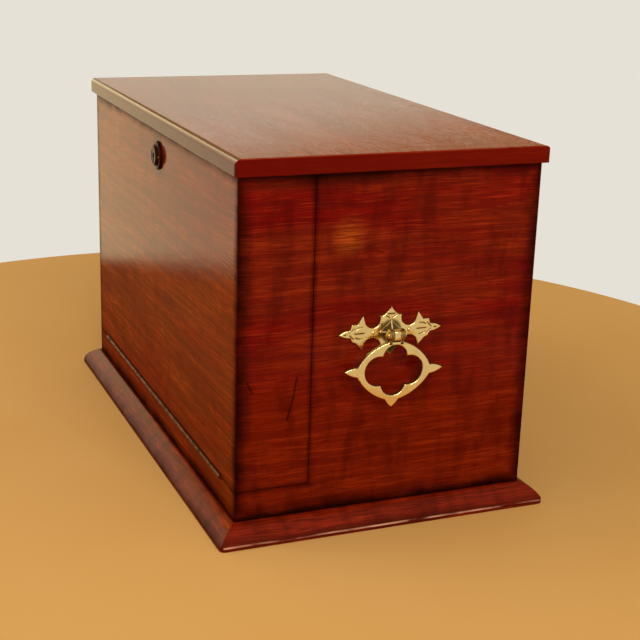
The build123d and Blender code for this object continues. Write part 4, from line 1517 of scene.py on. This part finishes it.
    def plate(self) -> Object:
        """Back plate with bevelled edges and engraved veins."""
        return Relief([self.plate_loop()], self.spacing).build(
            f"{self.label}_cast_back_plate", self.plane(self.face_x), self.plate_face, flat_face(0.0),
            self.plate_tarnish_and_shade,
        )

    def drop_loops(self) -> list[np.ndarray]:
        """Outline of the drop and of its four-lobed opening.

        Returns:
            The two outlines.
        """
        unit = self.drop_reach / 100
        steps = [
            ((11.8, -12.6),), ((41.4, -25.0), (73.1, -59.1)), ((87.1, -60.8), (100.0, -66.4)),
            ((88.2, -73.7), (73.4, -78.0)), ((52.7, -102.7), (13.7, -124.2)), ((7.3, -133.1), (0.0, -139.5)),
        ]
        outer = mirrored_loop(trace((0.0, -12.6 * unit), stretch(steps, unit), self.spacing))
        lobes = [(30.2, -68.3, 28.4), (-30.2, -68.3, 28.4), (0.0, -42.8, 24.2), (0.0, -91.2, 25.0)]
        lobes = [(u * unit, v * unit, radius * unit) for u, v, radius in lobes]
        return [outer, self.lobed(lobes, (0.0, -66.0 * unit))]

    def lobed(self, lobes: Sequence[tuple[float, float, float]], heart: tuple[float, float]) -> np.ndarray:
        """Outline round several overlapping discs, seen from a point inside them all.

        Args:
            lobes: centre and radius of each disc.
            heart: the point.

        Returns:
            The outline's points.
        """
        turns = np.arange(self.lobe_points) * 2 * math.pi / self.lobe_points
        reach = np.zeros(len(turns))
        for u, v, radius in lobes:
            du, dv = heart[0] - u, heart[1] - v
            along = du * np.cos(turns) + dv * np.sin(turns)
            left = along**2 - (du**2 + dv**2 - radius**2)
            reach = np.maximum(reach, np.where(left > 0, -along + np.sqrt(np.maximum(left, 0)), 0))
        return np.stack([heart[0] + reach * np.cos(turns), heart[1] + reach * np.sin(turns)], axis=1)

    def ear_loop(self) -> np.ndarray:
        """Side view of an ear: a round end on a narrow neck.

        Returns:
            The outline's points.
        """
        neck = self.drop_thickness / 2
        shoulder = -math.sqrt(self.ear_radius**2 - neck**2)
        foot = -self.ear_radius - self.ear_neck
        steps = [((self.ear_radius, 0.0), (neck, shoulder)), ((neck, foot),), ((0.0, foot),)]
        return mirrored_loop(trace((0.0, self.ear_radius), steps, self.spacing))

    def drop(self) -> Object:
        """Make the pointed drop with its two ears, hanging a little askew.

        Returns:
            The drop.
        """
        half = self.drop_thickness / 2
        # The ring and each ear hold painted shade along their rims.
        parts = [
            Relief(self.drop_loops(), self.spacing).build(
                f"{self.label}_ring", self.plane(self.axis_x), rounded(half, 0.6, self.drop_bevel),
                rounded(-half, 0.6, self.drop_bevel), rim_shade(0.75, 0.3),
            )
        ]
        half = self.ear_width / 2
        middle = self.eye_width / 2 + self.ear_gap + half
        loops = [self.ear_loop(), circle_loop(self.pin_radius + self.pin_gap, self.spacing)]
        for way in (-1, 1):
            ear = Relief(loops, self.spacing).build(
                f"{self.label}_ear", self.flank(way * middle, way), rounded(half, 0.8, 0.4),
                rounded(-half, 0.8, 0.4), rim_shade(0.8, 0.5),
            )
            parts.append(ear)
        drop = joined(f"{self.label}_cast_drop", parts)
        pivot = Matrix.Translation((self.side * self.axis_x * MM, 0, BOX.handle_z * MM))
        drop.data.transform(pivot @ Matrix.Rotation(math.radians(self.crooked), 4, "X") @ pivot.inverted())
        return drop

    def facets(self, points: np.ndarray, rim: np.ndarray) -> np.ndarray:
        """Height of the boss: four flat facets that rise from a narrow rim to a point.

        Args:
            points: places on the boss.
            rim: their distances from its outline; not used.

        Returns:
            One height for each.
        """
        share = np.clip((np.abs(points[:, 0]) + np.abs(points[:, 1])) / self.boss_reach, 0, 1)
        edge = 1 - self.boss_flat
        slope = self.boss_rim + (self.boss_height - self.boss_rim) * (edge - share) / edge
        return np.where(share > edge, self.boss_rim, slope)

    def facet_shade(self, points: np.ndarray, rim: np.ndarray) -> np.ndarray:
        """Painted shade on the boss: its facets are darkened, the left ones most, and its ridges and rim
        stay bright.

        Args:
            points: places on the boss.
            rim: their distances from its outline.

        Returns:
            One share for each.
        """
        near = np.minimum(np.minimum(np.abs(points[:, 0]), np.abs(points[:, 1])), rim)
        return np.where(points[:, 0] < 0, 0.98, 0.9) * smooth_step(0.0, 0.6, near)

    def boss(self) -> Object:
        """Make the stud: a four-sided boss, a post, a squared eye and a shank.

        Returns:
            The stud.
        """
        foot = self.face_x + self.plate_thickness
        reach, half = self.boss_reach, self.eye_width / 2
        lozenge = []
        corners = [(reach, 0.0), (0.0, reach), (-reach, 0.0), (0.0, -reach)]
        for start, end in zip(corners, corners[1:] + corners[:1]):
            lozenge += line_points(start, end, self.spacing)
        turns = np.arange(self.eye_points) * 2 * math.pi / self.eye_points
        squared = (np.abs(np.cos(turns)) ** 4 + np.abs(np.sin(turns)) ** 4) ** -0.25 * self.eye_half
        outline = np.stack([squared * np.cos(turns), squared * np.sin(turns)], axis=1)
        plane = self.plane(foot)
        parts = [
            Relief([np.array(lozenge)], self.spacing).build(
                f"{self.label}_boss", plane, self.facets, flat_face(-self.boss_sunk), self.facet_shade,
                self.boss_crease,
            ),
            Relief([circle_loop(self.post_radius, self.spacing)], self.spacing).build(
                f"{self.label}_post", plane, flat_face(self.axis_x - foot), flat_face(0.0), flat_face(0.6)
            ),
            Relief([outline, circle_loop(self.pin_radius, self.spacing)], self.spacing).build(
                f"{self.label}_eye", self.flank(0.0, 1), rounded(half, 0.85, 0.5), rounded(-half, 0.85, 0.5)
            ),
            Relief([circle_loop(self.shank_radius, self.spacing)], self.shank_spacing).build(
                f"{self.label}_shank", plane, flat_face(0.0), flat_face(-self.shank_length), flat_face(0.6)
            ),
        ]
        return joined(f"{self.label}_faceted_stud", parts)

    def build(self, frame: Frame) -> None:
        """Make and dress the handle's three castings.

        Args:
            frame: the loaded frame; not used.
        """
        for part, body, make in (
            ("plate", "carcass", self.plate), ("stud", "carcass", self.boss),
            ("drop", f"{self.label}_drop", self.drop),
        ):
            Dress(body, "polished_brass", CAST_BRASS, (f"{self.label}_handle_{part}",)).onto(make())


@dataclass
class Escutcheon:
    """Turned round escutcheon with a keyhole.

    The rings give its turned face: the radius and the height of each turn.
    """

    radius: float = 11.0
    key_radius: float = 2.2
    slot_half: float = 1.1
    slot_length: float = 6.0
    spacing: float = 0.3
    rings: tuple[tuple[float, float], ...] = (
        (0.0, 4.0), (4.2, 4.05), (5.6, 4.4), (6.6, 4.25), (7.2, 3.5), (7.5, 2.2), (8.2, 1.7),
        (8.7, 2.0), (9.3, 2.25), (9.9, 2.0), (10.4, 1.7), (10.8, 1.1), (11.0, 0.5),
    )

    def keyhole(self) -> np.ndarray:
        """Outline of the keyhole: a round head on a straight slot.

        Returns:
            The outline's points.
        """
        shoulder = -math.sqrt(self.key_radius**2 - self.slot_half**2)
        steps = [
            ((self.key_radius, 0.0), (self.slot_half, shoulder)), ((self.slot_half, -self.slot_length),),
            ((0.0, -self.slot_length),),
        ]
        return mirrored_loop(trace((0.0, self.key_radius), steps, self.spacing))

    def profile(self, points: np.ndarray, rim: np.ndarray) -> np.ndarray:
        """Height of the turned face at points."""
        return np.interp(np.hypot(points[:, 0], points[:, 1]), *zip(*self.rings))

    def tarnish(self, points: np.ndarray, rim: np.ndarray) -> np.ndarray:
        """Tarnish in the groove between the rings and round the keyhole."""
        radius = np.hypot(points[:, 0], points[:, 1])
        return 0.8 * np.exp(-(((radius - 8.0) / 0.5) ** 2)) + 0.5 * np.exp(-((radius / 3.4) ** 2))

    def build(self, frame: Frame) -> None:
        """Make and dress the escutcheon.

        Args:
            frame: the loaded frame.
        """
        place = (BOX.lock_x, -BOX.half_depth, BOX.keyhole_z)
        disc = Relief([circle_loop(self.radius, self.spacing), self.keyhole()], self.spacing).build(
            "turned_escutcheon", drawing_plane(((1, 0, 0), (0, 0, 1), (0, -1, 0)), place), self.profile,
            flat_face(0.0), self.tarnish,
        )
        Dress("fall_front", "dark_brass", DARK_BRASS, ("escutcheon",)).onto(disc)
        frame.dress(PLAIN_DARK_BRASS, "escutcheon_brads")


@dataclass
class Casework:
    """Boards of the box, the fall front and the lid; the ends and the fall's wings get eased arrises. Angles
    are in degrees.
    """

    ease: float = 0.35
    ease_steps: int = 2
    sharp: float = 32.0
    flat: float = 0.4
    weld: float = 0.002

    def eased(self, frame: Frame, node: str) -> Object:
        """Copy a board of the frame and ease its sharp arrises.

        Args:
            frame: the loaded frame.
            node: the board's node.

        Returns:
            The eased board.
        """
        shell = bmesh.new()
        shell.from_mesh(frame.nodes[node].data)
        bmesh.ops.remove_doubles(shell, verts=shell.verts, dist=self.weld * MM)
        bmesh.ops.dissolve_limit(
            shell, angle_limit=math.radians(self.flat), verts=shell.verts, edges=shell.edges
        )
        shell.verts.index_update()
        points = [vert.co[:] for vert in shell.verts]
        faces = [[vert.index for vert in face.verts] for face in shell.faces]
        shell.free()
        mesh = bpy.data.meshes.new(f"eased_{node}")
        mesh.from_pydata(points, [], faces)
        mesh.update()
        mesh.shade_smooth()
        piece = place_mesh(f"eased_{node}", mesh)
        bevel = piece.modifiers.new("eased", "BEVEL")
        bevel.limit_method = "ANGLE"
        bevel.angle_limit = math.radians(self.sharp)
        bevel.width = self.ease * MM
        bevel.segments = self.ease_steps
        bevel.harden_normals = True
        return settled(piece)

    def build(self, frame: Frame) -> None:
        """Ease the ends and the fall's wings, and dress all the boards.

        Args:
            frame: the loaded frame.
        """
        for board, body in (("side_board", "carcass"), ("fall_wing", "fall_front")):
            for side in ("right", "left"):
                node = f"{side}_{board}"
                Dress(body, "mahogany", END_POLISH, (node,)).onto(self.eased(frame, node))
        frame.dress(FRONT_POLISH, "fall_panel", "front_rail")
        frame.dress(BACK_POLISH, "back_board")
        frame.dress(LID_POLISH, "lid_board")
        frame.dress(PLINTH_FRONT_POLISH, "plinth_front", "plinth_back")
        frame.dress(PLINTH_SIDE_POLISH, "right_plinth", "left_plinth")


def node_group(name: str, sizes: dict[str, str]) -> tuple[NodeTree, Node]:
    """Start a Geometry Nodes tree with named inputs.

    Args:
        name: the tree's name.
        sizes: socket type of each input, by its name.

    Returns:
        The tree and its group input.
    """
    tree = bpy.data.node_groups.new(name, "GeometryNodeTree")
    tree.interface.new_socket("Geometry", in_out="INPUT", socket_type="NodeSocketGeometry")
    tree.interface.new_socket("Geometry", in_out="OUTPUT", socket_type="NodeSocketGeometry")
    for label, kind in sizes.items():
        tree.interface.new_socket(label, in_out="INPUT", socket_type=f"NodeSocket{kind}")
    return tree, add_node(tree, "NodeGroupInput")


def close_group(tree: NodeTree, shapes: Sequence[NodeSocket], material: NodeSocket) -> None:
    """End a Geometry Nodes tree: join, realize and give the material.

    Args:
        tree: the tree.
        shapes: what it makes.
        material: the material's socket.
    """
    join = add_node(tree, "GeometryNodeJoinGeometry")
    for shape in reversed(shapes):
        tree.links.new(shape, join.inputs[0])
    real = add_node(tree, "GeometryNodeRealizeInstances", {0: join.outputs[0]})
    dressed = add_node(tree, "GeometryNodeSetMaterial", {"Geometry": real.outputs[0], "Material": material})
    add_node(tree, "NodeGroupOutput", {0: dressed.outputs[0]})


def grown(name: str, tree: NodeTree, values: dict[str, object], base: Mesh | None = None) -> Object:
    """Run a Geometry Nodes tree and keep its result as a plain mesh.

    Args:
        name: the piece's name.
        tree: the tree.
        values: what its inputs are set to, by name.
        base: mesh that it starts from, empty when it needs none.

    Returns:
        The piece, at the origin.
    """
    piece = place_mesh(name, base or bpy.data.meshes.new(name))
    modifier = piece.modifiers.new("pattern", "NODES")
    modifier.node_group = tree
    for item in tree.interface.items_tree:
        if item.in_out == "INPUT" and item.name in values:
            modifier[item.identifier] = values[item.name]
    return settled(piece)


@dataclass
class Leatherwork:
    """Gold-tooled borders on both leathers and the stitching of the pull tab."""

    margin: float = 9.0
    fillet: float = 0.7
    fine: float = 0.35
    gap: float = 4.4
    pitch: float = 4.2
    stamp: float = 1.0
    leaf: float = 0.12
    stitch_pitch: float = 1.9
    stitch_stretch: float = 2.6
    stitch_inset: float = 1.3
    thread: float = 0.28
    seam_start: float = 1.0
    seam_points: int = 24

    def rectangle(self, tree: NodeTree, size: dict[str, NodeSocket], inward: float) -> NodeSocket:
        """Outline of one line of the border.

        Args:
            tree: the border's tree.
            size: its inputs, by name.
            inward: how far in the line is, in shares of the gap between both lines.

        Returns:
            The curve.
        """
        sides = {
            side: made(
                tree, "ShaderNodeMath", {0: size["Gap"], 1: -2 * inward, 2: size[side]},
                operation="MULTIPLY_ADD",
            )
            for side in ("Width", "Height")
        }
        return made(tree, "GeometryNodeCurvePrimitiveQuadrilateral", sides)

    def ribbon(
        self, tree: NodeTree, size: dict[str, NodeSocket], loop: NodeSocket, thick: str
    ) -> NodeSocket:
        """Flat line of gold leaf along a curve.

        Args:
            tree: the border's tree.
            size: its inputs, by name.
            loop: the curve.
            thick: name of the input that is the line's width.

        Returns:
            The line.
        """
        section = add_node(
            tree, "GeometryNodeCurvePrimitiveQuadrilateral", {"Width": size[thick], "Height": size["Leaf"]}
        )
        return made(tree, "GeometryNodeCurveToMesh", {0: loop, 1: section.outputs[0]})

    def border_tree(self) -> NodeTree:
        """Tree of a border: a broad line, a row of lozenges and a fine line.

        Returns:
            The tree.
        """
        sizes = dict.fromkeys(("Width", "Height", "Broad", "Fine", "Gap", "Pitch", "Stamp", "Leaf"), "Float")
        tree, given = node_group("tooled_border", {**sizes, "Centre": "Vector", "Gilding": "Material"})
        size = {socket.name: socket for socket in given.outputs}
        broad, fine = (
            self.ribbon(tree, size, self.rectangle(tree, size, inward), thick)
            for inward, thick in ((0.0, "Broad"), (1.0, "Fine"))
        )
        row = {"Curve": self.rectangle(tree, size, 0.5), "Length": size["Pitch"]}
        spots = add_node(tree, "GeometryNodeCurveToPoints", row, mode="LENGTH").outputs[0]
        lozenge = made(
            tree, "GeometryNodeMeshCylinder", {"Vertices": 4, "Radius": size["Stamp"], "Depth": size["Leaf"]}
        )
        stamps = made(tree, "GeometryNodeInstanceOnPoints", {"Points": spots, "Instance": lozenge})
        flat = add_node(tree, "GeometryNodeJoinGeometry")
        for shape in (stamps, fine, broad):
            tree.links.new(shape, flat.inputs[0])
        stood = add_node(
            tree, "GeometryNodeTransform",
            {"Geometry": flat.outputs[0], "Translation": size["Centre"],
             "Rotation": (math.radians(90), 0.0, 0.0)},
        )
        close_group(tree, [stood.outputs[0]], size["Gilding"])
        return tree

    def stitch_tree(self) -> NodeTree:
        """Tree of a seam: one short thread after another along a path.

        Returns:
            The tree.
        """
        sizes = {"Pitch": "Float", "Thread": "Float", "Linen": "Material"}
        tree, given = node_group("saddle_stitches", sizes)
        size = given.outputs
        path = add_node(tree, "GeometryNodeMeshToCurve", {0: size["Geometry"]})
        row = {"Curve": path.outputs[0], "Length": size["Pitch"]}
        spots = add_node(tree, "GeometryNodeCurveToPoints", row, mode="LENGTH").outputs
        ball = {"Segments": 10, "Rings": 6, "Radius": size["Thread"]}
        along = add_node(tree, "FunctionNodeAlignRotationToVector", {"Vector": spots["Tangent"]}, axis="Z")
        threads = add_node(
            tree, "GeometryNodeInstanceOnPoints",
            {"Points": spots[0], "Instance": made(tree, "GeometryNodeMeshUVSphere", ball),
             "Rotation": along.outputs[0], "Scale": (1.0, 1.0, self.stitch_stretch)},
        )
        close_group(tree, [threads.outputs[0]], size["Linen"])
        return tree

    def seam(self, low: Vector, high: Vector) -> Mesh:
        """Path of the stitches: down one side of the tab, round its end and up the other.

        Args:
            low: low corner of the tab, in metres.
            high: its high corner.

        Returns:
            The path.
        """
        half = (high.x - low.x) / 2 - self.stitch_inset * MM
        centre, start = low.z + (high.x - low.x) / 2, high.z - self.seam_start * MM
        turns = np.linspace(0, math.pi, self.seam_points)
        path = [(-half * math.cos(turn), centre - half * math.sin(turn)) for turn in turns]
        path = [(-half, start), *path, (half, start)]
        mesh = bpy.data.meshes.new("tab_seam")
        mesh.from_pydata([(u, high.y, v) for u, v in path], [(i, i + 1) for i in range(len(path) - 1)], [])
        return mesh

    def build(self, frame: Frame) -> None:
        """Tool both leathers and stitch the tab.

        Args:
            frame: the loaded frame.
        """
        tree = self.border_tree()
        lines = {
            "Broad": self.fillet, "Fine": self.fine, "Gap": self.gap, "Pitch": self.pitch,
            "Stamp": self.stamp, "Leaf": self.leaf,
        }
        for node, body in (("writing_leather_fixed", "fall_front"), ("flap_leather", "writing_flap")):
            low, high = corners_of(frame.nodes[node])
            centre = (low + high) / 2
            values = {
                **{name: value * MM for name, value in lines.items()},
                "Width": high.x - low.x - 2 * self.margin * MM,
                "Height": high.z - low.z - 2 * self.margin * MM,
                "Centre": (centre.x, high.y, centre.z),
                "Gilding": GILDING.material(),
            }
            Dress(body, "brass", GILDING).onto(grown(f"{node}_tooling", tree, values))
        values = {"Pitch": self.stitch_pitch * MM, "Thread": self.thread * MM, "Linen": THREAD.material()}
        path = self.seam(*corners_of(frame.nodes["flap_pull_tab"]))
        stitches = grown("pull_tab_stitches", self.stitch_tree(), values, path)
        Dress("writing_flap", "leather", THREAD).onto(stitches)


def corners_of(node: Object) -> tuple[Vector, Vector]:
    """Low and high corner of a node, in metres.

    Args:
        node: its object.

    Returns:
        The two corners.
    """
    points = [node.matrix_world @ vert.co for vert in node.data.vertices]
    low, high = (Vector([pick(p[axis] for p in points) for axis in range(3)]) for pick in (min, max))
    return low, high


@dataclass
class Fittings:
    """Everything inside, and the hinges, screws and lock."""

    def build(self, frame: Frame) -> None:
        """Dress the CAD nodes that keep their shape.

        Args:
            frame: the loaded frame.
        """
        frame.dress(
            INNER_POLISH, "fall_bottom_rail", "fall_top_rail", "fall_battens", "writing_board_fixed",
            "flap_board", "ink_wall", "ink_partitions", "rack_dividers", "rack_partition",
        )
        frame.dress(INNER_FLAT, "base_board", "pen_tray")
        frame.dress(GREEN_SKIVER, "writing_leather_fixed", "flap_leather", "flap_pull_tab")
        frame.dress(
            ROLLED_BRASS, "lid_hinge_lower_leaves", "lid_hinge_upper_leaves", "lid_hinge_pins",
            "lid_hinge_lower_screws", "lid_screws", "fall_hinge_lower_screws", "fall_screws",
            "flap_hinge_lower_leaves", "flap_hinge_upper_leaves", "flap_hinge_pins", "flap_screws",
            "link_plate", "lock_case", "handle_nuts", "inkwell_collars", "inkwell_cap_pins",
            "right_inkwell_cap", "left_inkwell_cap",
        )
        frame.dress(AGED_BRASS, "fall_hinge_lower_leaf", "fall_hinge_upper_leaf")
        frame.dress(PLAIN_CAST_BRASS, "handle_pins", "handle_brads", "fall_hinge_pin")
        frame.dress(STEEL, "lock_bolt")
        frame.dress(CLEAR_GLASS, "inkwell_glasses")


@dataclass(frozen=True)
class SoftLamp:
    """Square soft lamp: where it is, what it points at, its side (all in metres), watts and colour."""

    name: str
    place: tuple[float, float, float]
    aim: tuple[float, float, float]
    size: float
    power: float
    colour: str

    def build(self) -> None:
        """Hang the lamp."""
        data = bpy.data.lights.new(self.name, "AREA")
        data.shape = "SQUARE"
        data.size = self.size
        data.energy = self.power
        data.color = linear(self.colour)[:3]
        lamp = bpy.data.objects.new(self.name, data)
        lamp.location = self.place
        lamp.rotation_euler = (Vector(self.aim) - Vector(self.place)).to_track_quat("-Z", "Y").to_euler()
        bpy.context.scene.collection.objects.link(lamp)


@dataclass(frozen=True)
class Surround:
    """Pale wall round the object, which is also what its polish mirrors.

    Its directions are parts of a unit vector. The wall's bands lie one above the other
    and sink towards the right. Its left side is bright and warm low down, which the
    front mirrors, and the room before the box is dimmer than the wall.
    """

    slope: float = 0.25
    lowest_band: float = -0.1525
    bands: tuple[tuple[float, str], ...] = (
        (0.24, "#E6E1D6"), (0.30, "#F0E6C8"), (0.378, "#E8DEBE"), (0.394, "#FFFFEE"),
        (0.410, "#FFF2C4"), (0.425, "#A66622"), (0.460, "#B28448"), (0.70, "#AC9870"),
    )
    bright: str = "#FFEEB6"
    bright_strength: float = 3.6
    room: str = "#D6CAB0"

    def build(self) -> None:
        """Paint the world."""
        world = bpy.data.worlds.new("studio")
        world.use_nodes = True
        bpy.context.scene.world = world
        tree = world.node_tree
        tree.nodes.clear()
        way = add_node(tree, "ShaderNodeTexCoord").outputs["Generated"]
        x, y, z = add_node(tree, "ShaderNodeSeparateXYZ", {0: way}).outputs
        sunk = made(tree, "ShaderNodeMath", {0: y, 1: self.slope, 2: z}, operation="MULTIPLY_ADD")
        heights = made(
            tree, "ShaderNodeMapRange",
            {"Value": sunk, "From Min": self.lowest_band, "From Max": self.lowest_band + 1},
        )
        bands = made(
            tree, "ShaderNodeValToRGB", {0: heights},
            stops=[(place, linear(colour)) for place, colour in self.bands],
        )
        left, side = (
            made(
                tree, "ShaderNodeMapRange", {"Value": value, "From Min": low, "From Max": high},
                interpolation_type="SMOOTHSTEP",
            )
            for value, low, high in ((y, -0.02, -0.14), (x, -0.35, 0.45))
        )
        lit = product(tree, [left], [(y, -0.40, -0.20, 0.6, 1.0), (z, 0.50, 0.38, 0.0, 1.0)])
        colour = layered(tree, bands, [(lit, self.bright), (side, self.room)])
        share = product(tree, [lit], [(side, 0.0, 1.0, 1.0, 0.0)])
        strength = made(
            tree, "ShaderNodeMapRange", {"Value": share, "To Min": 1.0, "To Max": self.bright_strength}
        )
        back = add_node(tree, "ShaderNodeBackground", {"Color": colour, "Strength": strength})
        add_node(tree, "ShaderNodeOutputWorld", {"Surface": back.outputs[0]})


@dataclass
class Studio:
    """Plain round pale table, soft lamps, surround and camera. Lengths are in metres, angles in radians."""

    table_radius: float = 0.543
    table_centre: tuple[float, float] = (-0.058, -0.016)
    table_points: int = 192
    table_gap: float = 0.0002
    camera_place: tuple[float, float, float] = (0.99279, -0.38479, 0.42384)
    yaw: float = 1.1759
    pitch: float = 0.3020
    roll: float = 0.0310
    focal_pixels: float = 1347.93
    frame_pixels: float = 640.0
    sensor: float = 36.0
    lamps: tuple[SoftLamp, ...] = (
        SoftLamp("key", (-0.3, -1.4, 1.6), (0.0, 0.0, 0.1), 1.2, 11.0, "#FFFAF2"),
        SoftLamp("fill", (1.6, -0.1, 1.3), (0.1, 0.0, 0.12), 0.9, 17.0, "#FFF8EE"),
    )

    def table(self) -> None:
        """Lay the round table top, just clear of the box."""
        u, v = self.table_centre
        turns = [2 * math.pi * index / self.table_points for index in range(self.table_points)]
        points = [
            (u + self.table_radius * math.cos(turn), v + self.table_radius * math.sin(turn), -self.table_gap)
            for turn in turns
        ]
        mesh = bpy.data.meshes.new("table")
        mesh.from_pydata(points, [], [list(range(self.table_points))])
        mesh.materials.append(TABLE_TOP.material())
        place_mesh("table", mesh)

    def camera(self) -> None:
        """Camera as it stood for the photograph."""
        yaw, pitch, roll = self.yaw, self.pitch, self.roll
        ahead = Vector((-math.sin(yaw) * math.cos(pitch), math.cos(yaw) * math.cos(pitch), -math.sin(pitch)))
        right = Vector((math.cos(yaw), math.sin(yaw), 0))
        upward = right.cross(ahead)
        across = math.cos(roll) * right + math.sin(roll) * upward
        upward = -math.sin(roll) * right + math.cos(roll) * upward
        turn = Matrix((across, upward, -ahead)).transposed()
        data = bpy.data.cameras.new("camera")
        data.sensor_width = self.sensor
        data.lens = self.focal_pixels / self.frame_pixels * self.sensor
        eye = bpy.data.objects.new("camera", data)
        eye.matrix_world = Matrix.Translation(self.camera_place) @ turn.to_4x4()
        bpy.context.scene.collection.objects.link(eye)
        bpy.context.scene.camera = eye

    def build(self) -> None:
        """Set the stage."""
        bpy.context.scene.view_settings.view_transform = "Standard"
        self.table()
        Surround().build()
        for lamp in self.lamps:
            lamp.build()
        self.camera()


def main() -> None:
    """Build every sub-assembly and report its pieces."""
    logging.basicConfig(level=logging.INFO, format="%(name)s: %(message)s")
    frame = Frame()
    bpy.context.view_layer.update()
    for part in (Casework(), Fittings(), Leatherwork(), DropHandle(1), DropHandle(-1), Escutcheon()):
        part.build(frame)
        LOG.info("%s built", type(part).__name__)
    Studio().build()


if __name__ == "__main__":
    main()
